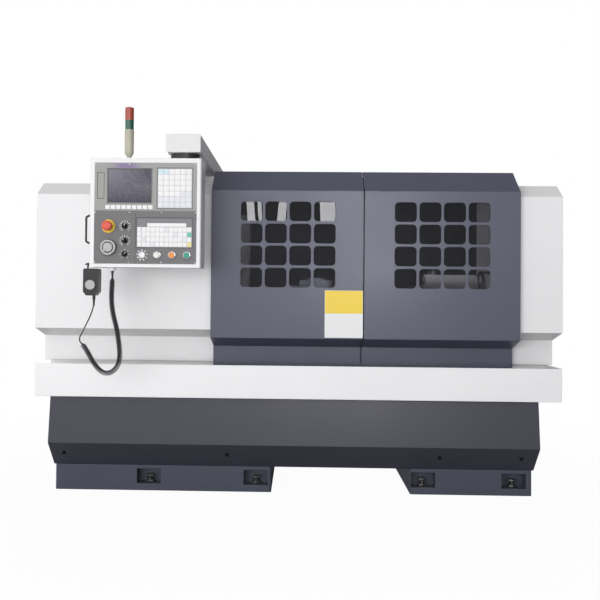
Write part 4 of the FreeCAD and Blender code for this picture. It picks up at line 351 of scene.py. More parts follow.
# Four bright strips behind the camera show only as reflections in the panes and bright parts.
watts_a_metre = 34
for name, strip_x, strip_wide, lean in (
        ("left_strip", -0.66, 0.10, 0.10), ("second_strip", -0.53, 0.05, 0.06),
        ("middle_strip", -0.20, 0.11, -0.08), ("right_strip", 0.36, 0.20, 0.05)):
    strip = studio_lamp(name, (strip_x, -6.5, 2.35), (strip_x, 0, 2.0), strip_wide, 0.85,
                        watts_a_metre * strip_wide)
    strip.rotation_euler.rotate_axis("Z", lean)
    strip.visible_diffuse = False
# One lamp beside the camera is mirrored as a soft sheen round the seam of the doors.
sheen = studio_lamp("sheen_lamp", (0.60, -4.05, 1.55), (0.30, -0.45, 1.26), 0.45, 0.95, 23)
sheen.visible_diffuse = False
# Two small lamps under the roof light the work area, which the tinted panes keep dark.
for lamp_x in (-0.15, 0.62):
    inner = studio_lamp("work_lamp", (lamp_x, -0.16, 1.50), (lamp_x + 0.02, 0.10, 0.9), 0.50,
                        0.14, 2.4)
    inner.visible_glossy = False
scene.cycles.caustics_refractive = False
scene.cycles.caustics_reflective = False

# ------------------------ pedestals, bed and its ways
# Grey cast iron under a thick coat of enamel, with the faint pitting of a sand casting. The bed
# has the same coat below its ways, which are ground bright.


def new_group(name, takes):
    """A node group that takes named values and puts out a surface."""
    group = bpy.data.node_groups.new(name, "ShaderNodeTree")
    for label, kind, value in takes:
        socket = group.interface.new_socket(name=label, in_out="INPUT",
                                            socket_type="NodeSocket" + kind)
        socket.default_value = value
    for label, kind in (("Colour", "Color"), ("Roughness", "Float"), ("Normal", "Vector")):
        group.interface.new_socket(name=label, in_out="OUTPUT", socket_type="NodeSocket" + kind)
    return group, group.nodes.new("NodeGroupInput").outputs, group.nodes.new("NodeGroupOutput")


def mixed(web, factor, first, second, data_type="RGBA"):
    """Two colours or values mixed by a third."""
    return add_node(web, "Mix", {"Factor": factor, "A": first, "B": second},
                    data_type=data_type).outputs["Result"]


def scaled(web, colour, level):
    """A colour made brighter or darker."""
    return add_node(web, "VectorMath", {"Vector": colour, "Scale": level},
                    operation="SCALE").outputs["Vector"]


# Paint on metal: uneven tone, fine texture and edges that are rubbed in patches.
coat, given, out = new_group("coat", (
    ("Paint", "Color", (0.5, 0.5, 0.5, 1)), ("Rubbed edge", "Color", (0.6, 0.6, 0.6, 1)),
    ("Edge wear", "Float", 0.3), ("Gloss", "Float", 0.4), ("Texture size", "Float", 700.0),
    ("Texture depth", "Float", 0.1), ("Unevenness", "Float", 0.06),
    ("Edge round", "Float", 0.0025)))
place = own_place(coat)
clouds = combine(coat, "SUBTRACT", noise(coat, place, 2.6, 3.0), 0.5)
mottle = combine(coat, "SUBTRACT", noise(coat, place, 70.0, 3.0), 0.5)
level = combine(coat, "ADD", combine(coat, "MULTIPLY", clouds, 2.0),
                combine(coat, "MULTIPLY", mottle, 0.6))
level = combine(coat, "ADD", combine(coat, "MULTIPLY", level, given["Unevenness"]), 1.0)
soft_edge = add_node(coat, "Bevel", {"Radius": given["Edge round"]}, samples=4).outputs["Normal"]
agree = add_node(coat, "VectorMath", {
    0: soft_edge, 1: add_node(coat, "NewGeometry").outputs["Normal"]},
    operation="DOT_PRODUCT").outputs["Value"]
worn = combine(coat, "MULTIPLY", ranged(coat, agree, 0.985, 0.90),
               ranged(coat, noise(coat, place, 26.0, 4.0), 0.42, 0.62))
worn = combine(coat, "MULTIPLY", worn, given["Edge wear"])
rough = combine(coat, "ADD", given["Gloss"], combine(coat, "MULTIPLY", clouds, 0.18))
rough = combine(coat, "ADD", rough, combine(coat, "MULTIPLY", mottle, 0.08))
bump = add_node(coat, "Bump", {
    "Distance": 0.0006, "Strength": given["Texture depth"], "Normal": soft_edge,
    "Height": noise(coat, place, given["Texture size"], 2.0)})
fill(coat, out, {
    "Colour": mixed(coat, worn, scaled(coat, given["Paint"], level), given["Rubbed edge"]),
    "Roughness": rough, "Normal": bump.outputs["Normal"]})


def surface(layer):
    """A group's outputs, for the shader's inputs of the same use."""
    return {"Base Color": layer.outputs["Colour"], "Roughness": layer.outputs["Roughness"],
            "Normal": layer.outputs["Normal"]}


def coated(name, paint, gloss=0.34, rubbed=(0.50, 0.49, 0.47), wear=0.2, size=900.0, depth=0.10,
           uneven=0.035, edge=0.004, metal=0.0):
    """A finish made with the coat group; powder coat on sheet, unless it is told otherwise."""
    finish, web, skin = new_finish(name)
    layer = add_node(web, "Group", {
        "Paint": (*paint, 1), "Rubbed edge": (*rubbed, 1), "Edge wear": wear, "Gloss": gloss,
        "Texture size": size, "Texture depth": depth, "Unevenness": uneven, "Edge round": edge},
        node_tree=coat)
    fill(web, skin, {"Metallic": metal, "Specular IOR Level": 0.45, **surface(layer)})
    return finish


def dress(finish, *names):
    """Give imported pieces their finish."""
    for name in names:
        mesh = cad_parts[name].data
        mesh.materials.clear()
        mesh.materials.append(finish)


pedestal_enamel = coated("pedestal_enamel", (0.058, 0.065, 0.092), gloss=0.42, wear=0.35,
                         rubbed=(0.20, 0.21, 0.24), size=240.0, depth=0.35, uneven=0.10,
                         edge=0.006)
dress(pedestal_enamel, "left_pedestal", "right_pedestal")

# Machined steel: fine lines along one way, uneven brightness and a thin oil film.
machined, given, out = new_group("machined", (
    ("Steel", "Color", (0.5, 0.5, 0.5, 1)), ("Roughness", "Float", 0.3),
    ("Line size", "Vector", (8.0, 500.0, 500.0)), ("Line depth", "Float", 0.1)))
place = own_place(machined)
drawn = add_node(machined, "VectorMath", {0: place, 1: given["Line size"]}, operation="MULTIPLY")
lines = noise(machined, drawn.outputs["Vector"], 1.0, 3.0)
film = ranged(machined, noise(machined, place, 9.0, 4.0), 0.0, 1.0, -0.07, 0.10)
bump = add_node(machined, "Bump", {
    "Distance": 0.0004, "Strength": given["Line depth"], "Height": lines,
    "Normal": add_node(machined, "Bevel", {"Radius": 0.0008}, samples=4).outputs["Normal"]})
fill(machined, out, {
    "Colour": scaled(machined, given["Steel"], ranged(machined, lines, 0.0, 1.0, 0.82, 1.12)),
    "Roughness": combine(machined, "ADD", given["Roughness"], film),
    "Normal": bump.outputs["Normal"]})


def metal_layer(web, steel, rough, lines, depth):
    """The machined group, placed in a material with its own values."""
    return add_node(web, "Group", {"Steel": (*steel, 1), "Roughness": rough, "Line size": lines,
                                   "Line depth": depth}, node_tree=machined)


def bright_metal(name, steel, rough, lines, depth):
    """Bare metal made with the machined group."""
    finish, web, skin = new_finish(name)
    fill(web, skin, {"Metallic": 1.0, **surface(metal_layer(web, steel, rough, lines, depth))})
    return finish


# the bed's ways start at this height; everything lower keeps its enamel
way_height = 0.7145
bed_enamel = coated("bed_enamel", (0.075, 0.082, 0.105), gloss=0.42, rubbed=(0.2, 0.21, 0.24),
                    wear=0.3, size=240.0, depth=0.3, uneven=0.08)
web = bed_enamel.node_tree
paint_layer = next(node for node in web.nodes if node.type == "GROUP").outputs
steel_layer = metal_layer(web, (0.50, 0.51, 0.53), 0.27, (8.0, 420.0, 420.0), 0.06).outputs
height = add_node(web, "SeparateXYZ", {"Vector": own_place(web)}).outputs["Z"]
above = combine(web, "GREATER_THAN", height, way_height)
fill(web, web.nodes["Principled BSDF"], {
    "Base Color": mixed(web, above, paint_layer["Colour"], steel_layer["Colour"]),
    "Roughness": mixed(web, above, paint_layer["Roughness"], steel_layer["Roughness"], "FLOAT"),
    "Metallic": above})
dress(bed_enamel, "bed")

# ------------------------ levelling screws
# Zinc-plated M24 jack screws with a lock nut and a chamfered head, two in front and two behind
# on each pedestal. They stand on the floor, so the whole weight goes through them.


def soften(part, edges, offset, rounds=2):
    """Round some edges of a part."""
    bmesh.ops.bevel(part, geom=edges, offset=offset, offset_type="OFFSET", segments=rounds,
                    profile=0.5, affect="EDGES", material=-1, clamp_overlap=True)


def square_to(part, axis):
    """The edges whose two ends are level on one axis."""
    return [edge for edge in part.edges
            if abs(getattr(edge.verts[0].co - edge.verts[1].co, axis)) < 1e-6]


def add_hex(shape, place, radius, height):
    """A hexagonal nut or head with chamfered corners that stands on its place."""
    part = bmesh.new()
    bmesh.ops.create_cone(part, cap_ends=True, segments=6, radius1=radius, radius2=radius,
                          depth=height)
    soften(part, square_to(part, "z"), 0.0012)
    add_part(shape, part, Matrix.Translation(Vector(place) + Vector((0, 0, height / 2))))


zinc = bright_metal("zinc_plate", (0.22, 0.215, 0.21), 0.36, (90.0, 90.0, 90.0), 0.12)
thread_pitch = 0.003
thread = [(0.0, 0.0), (0.0, 0.009)]
for ridge in range(22):
    thread += [(0.0015 + ridge * thread_pitch, 0.0118), (0.0030 + ridge * thread_pitch, 0.0104)]
thread.append((0.0680, 0.0))
jacks = bmesh.new()
for foot_x in (-0.732, -0.198, 0.631, 1.077):
    for foot_y in (-0.337, 0.337):
        add_turned(jacks, thread, "Z", (foot_x, foot_y, 0), steps=24)
        for nut_z in (0.034, 0.062):
            add_hex(jacks, (foot_x, foot_y, nut_z), 0.0199, 0.012)
levelling = make_piece("levelling_screw_set", jacks, "frame", zinc)
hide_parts("levelling_screws")

# ------------------------ front skirt
# Folded sheet in a dark semi-gloss powder coat. Four black socket screws hold its sloping foot
# to the pedestals.
skirt_coat = coated("skirt_coat", (0.036, 0.036, 0.053), gloss=0.36, rubbed=(0.22, 0.22, 0.25),
                    wear=0.25, depth=0.12, uneven=0.07)
dress(skirt_coat, "front_skirt")
black_oxide = coated("black_oxide", (0.012, 0.012, 0.013), gloss=0.38, rubbed=(0.10, 0.10, 0.10),
                     wear=0.4, size=1500.0, depth=0.05, uneven=0.05, edge=0.0005, metal=0.6)
foot_slope = math.atan2(0.105, 0.125)
socket_screw = [(-0.0050, 0.0), (-0.0050, 0.0035), (-0.0075, 0.0035), (-0.0080, 0.0040),
                (-0.0080, 0.0062), (-0.0070, 0.0070), (0.0, 0.0070), (0.0, 0.0105),
                (0.0012, 0.0110), (0.0030, 0.0110), (0.0030, 0.0)]
skirt_screws = bmesh.new()
for screw_x in (-1.141, -0.337, 0.701, 1.096):
    screw_place = (screw_x, -0.4331, 0.195)
    add_turned(skirt_screws, socket_screw, "Y", screw_place, steps=24,
               turn=turned_about(screw_place, foot_slope))
make_piece("skirt_screws", skirt_screws, "frame", black_oxide)

# ------------------------ chip tray
# Folded and welded sheet in warm white powder coat, with a trough all round the bed for coolant and
# chips. Its white is painted a shade paler than the covers', as painted light that makes up for the
# dimmer light low down at the tray.
dress(coated("tray_white_painted_light", (0.87, 0.865, 0.87)), "chip_tray")

# ------------------------ headstock, spindle and drive
# An off-white cast housing. The spindle and its bearing rings, the chuck and the jaws are turned
# or ground steel, the pulleys are cast aluminium, and a rubber belt joins them.
casting_white = coated("casting_white", (0.62, 0.62, 0.61), gloss=0.40, wear=0.3, size=260.0,
                       rubbed=(0.35, 0.35, 0.34), depth=0.3, uneven=0.05, edge=0.005)
dress(casting_white, "headstock")
turned_steel = bright_metal("turned_steel", (0.56, 0.56, 0.57), 0.25, (900.0, 14.0, 14.0), 0.12)
ground_steel = bright_metal("ground_steel", (0.54, 0.55, 0.57), 0.22, (12.0, 260.0, 600.0), 0.06)
dress(turned_steel, "spindle", "spindle_bearings", "chuck_body", "z_screw")
dress(ground_steel, "chuck_jaw_1", "chuck_jaw_2", "chuck_jaw_3")
pulley_metal = bright_metal("pulley_metal", (0.62, 0.62, 0.62), 0.40, (700.0, 30.0, 30.0), 0.15)
dress(pulley_metal, "spindle_pulley", "motor_pulley")
belt_rubber = coated("belt_rubber", (0.018, 0.018, 0.019), gloss=0.62, rubbed=(0.06, 0.06, 0.06),
                     wear=0.5, size=400.0, depth=0.3, uneven=0.15, edge=0.001)
dress(belt_rubber, "drive_belt")
motor_paint = coated("motor_paint", (0.045, 0.055, 0.075), gloss=0.38, rubbed=(0.25, 0.25, 0.26),
                     wear=0.4, size=300.0, depth=0.25, uneven=0.08, edge=0.002)
dress(motor_paint, "main_motor")

# ------------------------ covers, roof and rails
# White covers at both ends, a dark roof and rear wall between them, and bare steel rails that
# the doors run on.
dress(coated("cover_coat", (0.82, 0.815, 0.82), gloss=0.33), "headstock_cover", "end_cover")
roof_coat = coated("roof_coat", (0.046, 0.048, 0.062), gloss=0.42, rubbed=(0.2, 0.2, 0.22),
                   wear=0.25, size=420.0, depth=0.01, uneven=0.06, edge=0.0006)
dress(roof_coat, "rear_guard")
rail_steel = bright_metal("rail_steel", (0.46, 0.46, 0.47), 0.32, (6.0, 380.0, 380.0), 0.10)
dress(rail_steel, "door_rails")

# ------------------------ sliding doors
# Slate-grey powder coat on folded sheet, with clear tinted panes behind the window grid. A plain
# card in two colours is stuck on the left door beside the seam.
door_coat = coated("door_coat", (0.083, 0.087, 0.127), rubbed=(0.30, 0.30, 0.34), wear=0.3,
                   size=420.0, depth=0.04, uneven=0.06, edge=0.005)
dress(door_coat, "left_door", "right_door")
pane, web, skin = new_finish("window_pane")
fill(web, skin, {
    "Metallic": 0.0, "Transmission Weight": 1.0, "IOR": 1.38, "Roughness": 0.0,
    "Base Color": mixed(web, noise(web, own_place(web), 7.0, 5.0), (0.190, 0.190, 0.222, 1),
                        (0.330, 0.330, 0.360, 1))})
dress(pane, "left_window", "right_window")


def add_block(shape, low, high, edge=0.0008, rounds=2, turn=None):
    """A block between two corners with softened edges."""
    part = bmesh.new()
    bmesh.ops.create_cube(part, size=1.0)
    low = Vector(low)
    high = Vector(high)
    bmesh.ops.scale(part, vec=high - low, verts=part.verts)
    bmesh.ops.translate(part, vec=(low + high) / 2, verts=part.verts)
    soften(part, part.edges[:], edge, rounds)
    add_part(shape, part, turn)


def add_sheet(shape, low, high, turn=None, edge=0.0001):
    """A thin flat block, with hardly any round to its edges."""
    add_block(shape, low, high, edge, 1, turn)


def make_sheet(name, low, high, body, finish, edge=0.0001):
    """One thin flat block as a piece."""
    shape = bmesh.new()
    add_sheet(shape, low, high, edge=edge)
    make_piece(name, shape, body, finish)


def moulded(name, colour, gloss, rubbed=None, wear=0.0, size=1500.0, depth=0.05, uneven=0.05,
            edge=0.001):
    """Moulded plastic, the same colour right through unless its edges are told otherwise."""
    return coated(name, colour, gloss, rubbed or colour, wear, size, depth, uneven, edge)


def printed(name, colour, gloss=0.4):
    """Ink or film: one colour with a faint unevenness."""
    return moulded(name, colour, gloss, size=1800.0, depth=0.03, uneven=0.04, edge=0.0004)


card_yellow = printed("card_yellow", (0.86, 0.62, 0.05))
card_white = printed("card_white", (0.80, 0.80, 0.80))
for name, low, high, finish in (
        ("door_card_top", (0.137, -0.44580, 0.892), (0.320, -0.44480, 1.003), card_yellow),
        ("door_card_foot", (0.137, -0.44580, 0.775), (0.320, -0.44480, 0.892), card_white),
        ("door_card_border", (0.1355, -0.44550, 0.7735), (0.3215, -0.44485, 1.0045),
         card_white)):
    make_sheet(name, low, high, "door_left", finish)

# ------------------------ carriage
# A grey cast saddle, a ground cross slide, a hardened turret block with clamped tools, and the
# two black servo motors.
saddle_enamel = coated("saddle_enamel", (0.09, 0.098, 0.12), gloss=0.4, rubbed=(0.3, 0.3, 0.32),
                       wear=0.4, size=240.0, depth=0.3, uneven=0.08)
dress(saddle_enamel, "saddle")
dress(ground_steel, "cross_slide", "tool_turret")
dress(bright_metal("screw_steel", (0.50, 0.50, 0.52), 0.24, (20.0, 700.0, 20.0), 0.2), "x_screw")
servo_paint = coated("servo_paint", (0.018, 0.018, 0.020), gloss=0.36, rubbed=(0.12, 0.12, 0.12),
                     wear=0.35, depth=0.12, uneven=0.06, edge=0.002)
dress(servo_paint, "z_motor", "x_motor")

# ------------------------ tailstock
# The same off-white casting as the headstock. Its quill is bare turned steel, and the handwheel
# and the clamp lever are plated.
dress(casting_white, "tailstock")
dress(turned_steel, "tailstock_quill")
plated = bright_metal("chrome_plate", (0.66, 0.67, 0.69), 0.14, (60.0, 60.0, 60.0), 0.02)
dress(plated, "tailstock_handwheel", "quill_clamp_lever")

# ------------------------ electrical cabinet
# White sheet cabinet with the drives behind a hinged door, a red rotary switch on the door and
# louvres for the warm air.
cabinet_coat = coated("cabinet_coat", (0.76, 0.757, 0.76), gloss=0.36, depth=0.12, edge=0.003)
dress(cabinet_coat, "electrical_cabinet", "cabinet_door")
dress(moulded("switch_red", (0.45, 0.018, 0.014), 0.3, (0.5, 0.1, 0.08), 0.2), "main_switch")


def add_louvres(shape, x, z, wide, rows):
    """Rows of pressed louvres that stand out from the cabinet's door and open downwards."""
    pitch = 0.022
    face = 0.8025
    profile = ((0.0, 0.0), (0.0100, 0.0012), (0.0115, 0.0040), (0.0100, pitch * 0.55),
               (0.0, pitch * 0.78))
    for row in range(rows):
        low = z + row * pitch
        part = bmesh.new()
        end = part.faces.new([part.verts.new((x, face + out, low + up)) for out, up in profile])
        pulled = bmesh.ops.extrude_face_region(part, geom=[end], use_keep_orig=True)["geom"]
        bmesh.ops.translate(part, vec=(wide, 0, 0),
                            verts=[item for item in pulled if isinstance(item, bmesh.types.BMVert)])
        bmesh.ops.recalc_face_normals(part, faces=part.faces)
        soften(part, square_to(part, "x"), 0.0016)
        add_part(shape, part)


louvres = bmesh.new()
for louvre_x in (-1.150, -0.720):
    add_louvres(louvres, louvre_x, 0.560, 0.270, 10)
    add_louvres(louvres, louvre_x, 1.330, 0.270, 4)
make_piece("cabinet_louvres", louvres, "rear_door", cabinet_coat)
lock_zinc = bright_metal("lock_zinc", (0.50, 0.50, 0.50), 0.30, (60.0, 60.0, 60.0), 0.05)
lock_ring = [(0.0, 0.0), (0.0, 0.0150), (0.0020, 0.0160), (0.0050, 0.0160), (0.0060, 0.0150),
             (0.0060, 0.0095), (0.0045, 0.0090), (0.0045, 0.0)]
locks = bmesh.new()
for lock_z in (0.58, 0.99, 1.42):
    add_turned(locks, lock_ring, "Y", (-0.362, 0.8028, lock_z), steps=32)
    add_block(locks, (-0.3642, 0.8060, lock_z - 0.0080), (-0.3598, 0.8092, lock_z + 0.0080),
              edge=0.0006)
make_piece("cabinet_locks", locks, "rear_door", lock_zinc)

# Moulded fronts of what the cabinet holds: the spindle drive, two axis drives and the power
# supply, each with cooling slots, and the covers of two slotted wiring ducts.
drive_plastic = moulded("drive_plastic", (0.050, 0.052, 0.058), 0.5, (0.12, 0.12, 0.13), 0.1,
                        depth=0.1)
duct_plastic = moulded("duct_plastic", (0.30, 0.305, 0.315), 0.5, (0.35, 0.35, 0.35), 0.1,
                       depth=0.1)
plate_y = 0.440
drive_fronts = bmesh.new()
for low_x, wide, deep, low_z, high in (
        (-1.170, 0.220, 0.190, 1.037, 0.380), (-0.910, 0.090, 0.170, 1.117, 0.280),
        (-0.800, 0.090, 0.170, 1.117, 0.280), (-1.150, 0.180, 0.150, 0.567, 0.170)):
    face_y = plate_y + deep
    add_block(drive_fronts, (low_x + 0.004, face_y - 0.001, low_z + 0.004),
              (low_x + wide - 0.004, face_y + 0.004, low_z + high - 0.004), edge=0.0015)
    for slot in range(6):
        slot_z = low_z + high * 0.12 + slot * 0.012
        add_block(drive_fronts, (low_x + wide * 0.18, face_y + 0.003, slot_z),
                  (low_x + wide * 0.82, face_y + 0.0062, slot_z + 0.005), edge=0.0010)
make_piece("drive_fronts", drive_fronts, "frame", drive_plastic)
duct_covers = bmesh.new()
for low_z in (0.877, 0.627):
    add_block(duct_covers, (-0.910, 0.519, low_z - 0.001), (-0.430, 0.524, low_z + 0.091),
              edge=0.0015)
    for tooth in range(19):
        tooth_x = -0.900 + tooth * 0.025
        for tooth_z in (low_z - 0.0012, low_z + 0.0902):
            add_sheet(duct_covers, (tooth_x, 0.455, tooth_z),
                      (tooth_x + 0.012, 0.5185, tooth_z + 0.002), edge=0.0004)
make_piece("duct_covers", duct_covers, "frame", duct_plastic)

# ------------------------ coolant tank
# Welded sheet tank in grey paint, which stands on the floor behind the machine. Its immersion
# pump is bolted to the lid.
tank_coat = coated("tank_coat", (0.10, 0.105, 0.13), gloss=0.4, rubbed=(0.3, 0.3, 0.32),
                   wear=0.35, size=600.0, depth=0.15, uneven=0.07)
dress(tank_coat, "coolant_tank")

# ------------------------ boom
# A white box-section arm of folded and welded sheet. Its white is painted a shade darker than the
# covers', as painted shade that tones down the brighter light up at the arm. It turns on a round
# column, which is painted dark like the roof; part of that dark is painted shade that stands in for
# the shadow under the arm's nose.
arm_white_painted_shade = coated("arm_white_painted_shade", (0.74, 0.738, 0.74), uneven=0.03)
dress(arm_white_painted_shade, "boom_arm")
dress(roof_coat, "boom_post")

# ------------------------ pendant
# White sheet housing with two grey front units of film on plate. The hand unit and the knobs are
# moulded in black.
pendant_coat = coated("pendant_coat", (0.82, 0.82, 0.825), gloss=0.32, rubbed=(0.55, 0.54, 0.52),
                      wear=0.15, size=1000.0, depth=0.08, uneven=0.025, edge=0.003)
dress(pendant_coat, "pendant_case")
upper_grey = (0.335, 0.333, 0.320)
upper_film = moulded("upper_unit_film", upper_grey, 0.45, (0.36, 0.36, 0.35), 0.3, size=1600.0,
                     depth=0.12, edge=0.0006)
dress(upper_film, "control_unit", "port_cover")
lower_film = moulded("lower_unit_film", (0.158, 0.153, 0.157), 0.45, (0.24, 0.24, 0.24), 0.3,
                     size=1600.0, depth=0.12, edge=0.0006)
dress(lower_film, "operator_panel")
black_plastic = moulded("black_plastic", (0.022, 0.022, 0.024), 0.36, (0.08, 0.08, 0.08), 0.3,
                        depth=0.08, uneven=0.08, edge=0.0008)
dress(black_plastic, "hand_unit")
knob_black = moulded("knob_black", (0.006, 0.006, 0.007), 0.46, (0.03, 0.03, 0.03), 0.2,
                     depth=0.08, uneven=0.08, edge=0.0006)
fill(knob_black.node_tree, knob_black.node_tree.nodes["Principled BSDF"],
     {"Specular IOR Level": 0.22})
dress(knob_black, "feed_override_knob", "spindle_override_knob", "mode_knob")

# The screen is a dark pane with a dull shine, set in the upper unit. Faint curved streaks of
# painted reflection cross it, and its top left is painted paler as a painted glare.
screen_left, screen_right = -0.85, -0.66
screen_low, screen_high = 1.39, 1.54
screen_glass, web, skin = new_finish("screen_glass")
place = own_place(web)
split = add_node(web, "SeparateXYZ", {"Vector": place}).outputs
# painted glare: the pane's colour grows paler towards its top left
painted_glare = combine(web, "MULTIPLY", ranged(web, split["X"], screen_right, screen_left),
                 ranged(web, split["Z"], screen_low, screen_high))
# painted reflection: thin curved streaks of a paler colour across the pane
painted_reflection = ramped(web, noise(web, place, 11.0, 4.0, 1.6), (0.46, (0, 0, 0)),
                (0.50, (0.10, 0.10, 0.10)), (0.53, (0, 0, 0)))
pane_tone = mixed(web, painted_glare, (0.058, 0.052, 0.078, 1), (0.200, 0.196, 0.235, 1))
fill(web, skin, {"Roughness": 0.34,
                 "Base Color": mixed(web, painted_reflection, pane_tone, (0.42, 0.42, 0.45, 1))})
screen = bmesh.new()
add_block(screen, (-0.8485, -0.7792, 1.3905), (-0.6575, -0.7779, 1.5365), edge=0.0004)
make_piece("screen", screen, "pendant", screen_glass)

# The floors of the recesses: black round the screen, pale grey between the keys, and mid grey
# over the lower keys. They lie on the bottom of the recess, at this depth.
recess_y = -0.7779
key_line = moulded("key_line", (0.060, 0.058, 0.064), 0.5, (0.1, 0.1, 0.1), size=1600.0,
                   depth=0.06, edge=0.0004)
make_sheet("screen_recess", (-0.8508, -0.7784, 1.3882), (-0.6552, recess_y, 1.5388), "pendant",
           key_line)
key_recess = bmesh.new()
add_sheet(key_recess, (-0.6268, -0.7784, 1.3642), (-0.4732, recess_y, 1.5408))
add_sheet(key_recess, (-0.7178, -0.7786, 1.1892), (-0.4722, recess_y, 1.2790))
make_piece("key_recesses", key_recess, "pendant", printed("key_gap", (0.58, 0.57, 0.60), 0.5))
make_sheet("board_fill", (-0.7178, -0.7784, 1.2780), (-0.4722, recess_y, 1.3178), "pendant",
           printed("board_fill", (0.215, 0.210, 0.225), 0.5))

# Keys are moulded caps in rows: off-white for most, with some in grey, blue, green and yellow.
# The nine soft keys stand under the screen.
key_finishes = {name: printed("key_" + name, colour, 0.42) for name, colour in (
    ("white", (0.84, 0.825, 0.825)), ("grey", (0.74, 0.745, 0.79)), ("blue", (0.62, 0.76, 0.81)),
    ("green", (0.16, 0.50, 0.40)), ("yellow", (0.78, 0.72, 0.30)))}
caps = {name: bmesh.new() for name in key_finishes}
caps_back = -0.7780


def add_keys(left, low, right, high, columns, rows, gap, top, colour_of):
    """A field of keys, each in the shape of its own colour."""
    wide = (right - left + gap) / columns
    tall = (high - low + gap) / rows
    for column in range(columns):
        for row in range(rows):
            x = left + column * wide
            z = low + row * tall
            add_block(caps[colour_of(column, row)], (x, top, z),
                      (x + wide - gap, caps_back, z + tall - gap), edge=0.0006)


def upper_colour(column, row):
    """The two keys at the top left are blue and the bottom rows are a cooler white."""
    if row == 6 and column < 2:
        return "blue"
    return "grey" if row < 2 or (row == 2 and column > 3) else "white"


def lower_colour(column, row):
    """Start is green and hold is yellow at the right edge."""
    if column == 11:
        return {0: "yellow", 2: "green"}.get(row, "white")
    return "grey" if (column + row * 2) % 9 == 3 else "white"


add_keys(-0.6248, 1.3662, -0.4752, 1.5388, 6, 7, 0.0020, -0.7796, upper_colour)
add_keys(-0.7165, 1.1905, -0.4735, 1.2775, 12, 4, 0.0020, -0.7797, lower_colour)
add_keys(-0.8610, 1.3582, -0.6490, 1.3758, 9, 1, 0.0040, -0.7816, lambda column, row: "white")
for shade, finish in key_finishes.items():
    make_piece("keys_" + shade, caps[shade], "pendant", finish)

# A white strip over the lower keys, a violet band over the screen, and a raised line round each
# field of the two units.
make_sheet("indicator_strip", (-0.6720, -0.7796, 1.2803), (-0.4970, -0.7781, 1.2963), "pendant",
           key_finishes["white"], edge=0.0003)
band_left, band_right = -0.845, -0.690
violet_ink = (0.24, 0.19, 0.34)
violet = printed("violet_band", (0.21, 0.16, 0.31), 0.45)
web = violet.node_tree
along = add_node(web, "SeparateXYZ", {"Vector": own_place(web)}).outputs["X"]
fill(web, web.nodes["Principled BSDF"], {
    "Base Color": ramped(web, ranged(web, along, band_left, band_right), (0.0, upper_grey),
                         (0.35, violet_ink), (0.62, violet_ink), (1.0, upper_grey))})
make_sheet("violet_band", (band_left, -0.7803, 1.5440), (band_right, -0.7798, 1.5640), "pendant",
           violet, edge=0.0002)
line_wide, line_front, line_back = 0.0022, -0.7803, -0.7797
borders = bmesh.new()
add_sheet(borders, (-0.7268, -0.7802, 1.1160), (-0.7252, line_back, 1.3480))
for low_x, low_z, high_x, high_z in (
        (-0.6310, 1.3600, -0.4690, 1.5450), (-0.8545, 1.3845, -0.6515, 1.5425),
        (-0.7225, 1.1845, -0.4675, 1.3225), (-0.8990, 1.4040, -0.8670, 1.5220)):
    for left, low, right, high in (
            (low_x, low_z, low_x + line_wide, high_z), (high_x - line_wide, low_z, high_x, high_z),
            (low_x, low_z, high_x, low_z + line_wide), (low_x, high_z - line_wide, high_x, high_z)):
        add_sheet(borders, (left, line_front, low), (right, line_back, high))
make_piece("unit_lines", borders, "pendant", printed("dark_line", (0.060, 0.058, 0.060), 0.5))

# Small plated cross-head screws hold the two units at their edges.
cross_screw = [(0.0, 0.0), (0.0, 0.0012), (0.0004, 0.0014), (0.0004, 0.0022), (-0.0004, 0.0026),
               (-0.0004, 0.0030), (0.0006, 0.0038), (0.0030, 0.0038)]
panel_screws = bmesh.new()
for screw_z in (1.5605, 1.3440, 1.1205):
    for screw_x in (-0.906, -0.753, -0.608, -0.457):
        add_turned(panel_screws, cross_screw, "Y", (screw_x, -0.7812, screw_z), steps=16)
make_piece("panel_screws", panel_screws, "pendant", plated)

# The emergency stop: a red mushroom head on a yellow disc.
stop_x, stop_z = -0.846, 1.281
stop_red = moulded("stop_red", (0.70, 0.105, 0.070), 0.30, (0.62, 0.15, 0.10), 0.2, size=1200.0,
                   depth=0.03)
head = [(0.0, 0.0)]
for step in range(1, 9):
    bow = step / 8 * math.pi / 2
    head.append((0.0075 * (1 - math.cos(bow)), 0.0215 * math.sin(bow)))
head += [(0.0090, 0.0229), (0.0120, 0.0229), (0.0145, 0.0215), (0.0160, 0.0190), (0.0160, 0.0120),
         (0.0440, 0.0120), (0.0440, 0.0)]
mushroom = make_turned("stop_head", head, "Y", (stop_x, -0.823, stop_z), "stop_head", stop_red,
                       steps=64)
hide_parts("emergency_stop_button")
make_turned("stop_disc", [(0.0, 0.0175), (0.0, 0.0290), (0.0010, 0.0304), (0.0045, 0.0304),
                          (0.0045, 0.0175)], "Y", (stop_x, -0.7840, stop_z), "pendant",
            printed("stop_yellow", (0.86, 0.60, 0.06), 0.35), steps=64)

# The pulse wheel is a satin aluminium dial with a milled rim. A darker ring is sunk in its face
# round a bright turned centre.
wheel_x, wheel_z = -0.845, 1.186
dial_metal = bright_metal("dial_metal", (0.46, 0.45, 0.44), 0.38, (40.0, 900.0, 40.0), 0.05)
dress(dial_metal, "pulse_handwheel", "hand_unit_dial")
make_turned("pulse_wheel_ring", [
    (0.0, 0.0190), (-0.0004, 0.0196), (-0.0004, 0.0252), (0.0, 0.0258), (0.0004, 0.0252),
    (0.0004, 0.0196), (0.0, 0.0190)], "Y", (wheel_x, -0.7962, wheel_z), "pulse_wheel", key_line)
make_turned("pulse_wheel_centre", [
    (0.0004, 0.0), (-0.0004, 0.0060), (-0.0008, 0.0120), (-0.0002, 0.0180), (0.0006, 0.0190)],
    "Y", (wheel_x, -0.7965, wheel_z), "pulse_wheel", dial_metal)


def on_panel(x, z, angle):
    """A place on the pendant's front, turned in the plane of that front."""
    return Matrix.Translation((x, 0, z)) @ Matrix.Rotation(angle, 4, "Y")


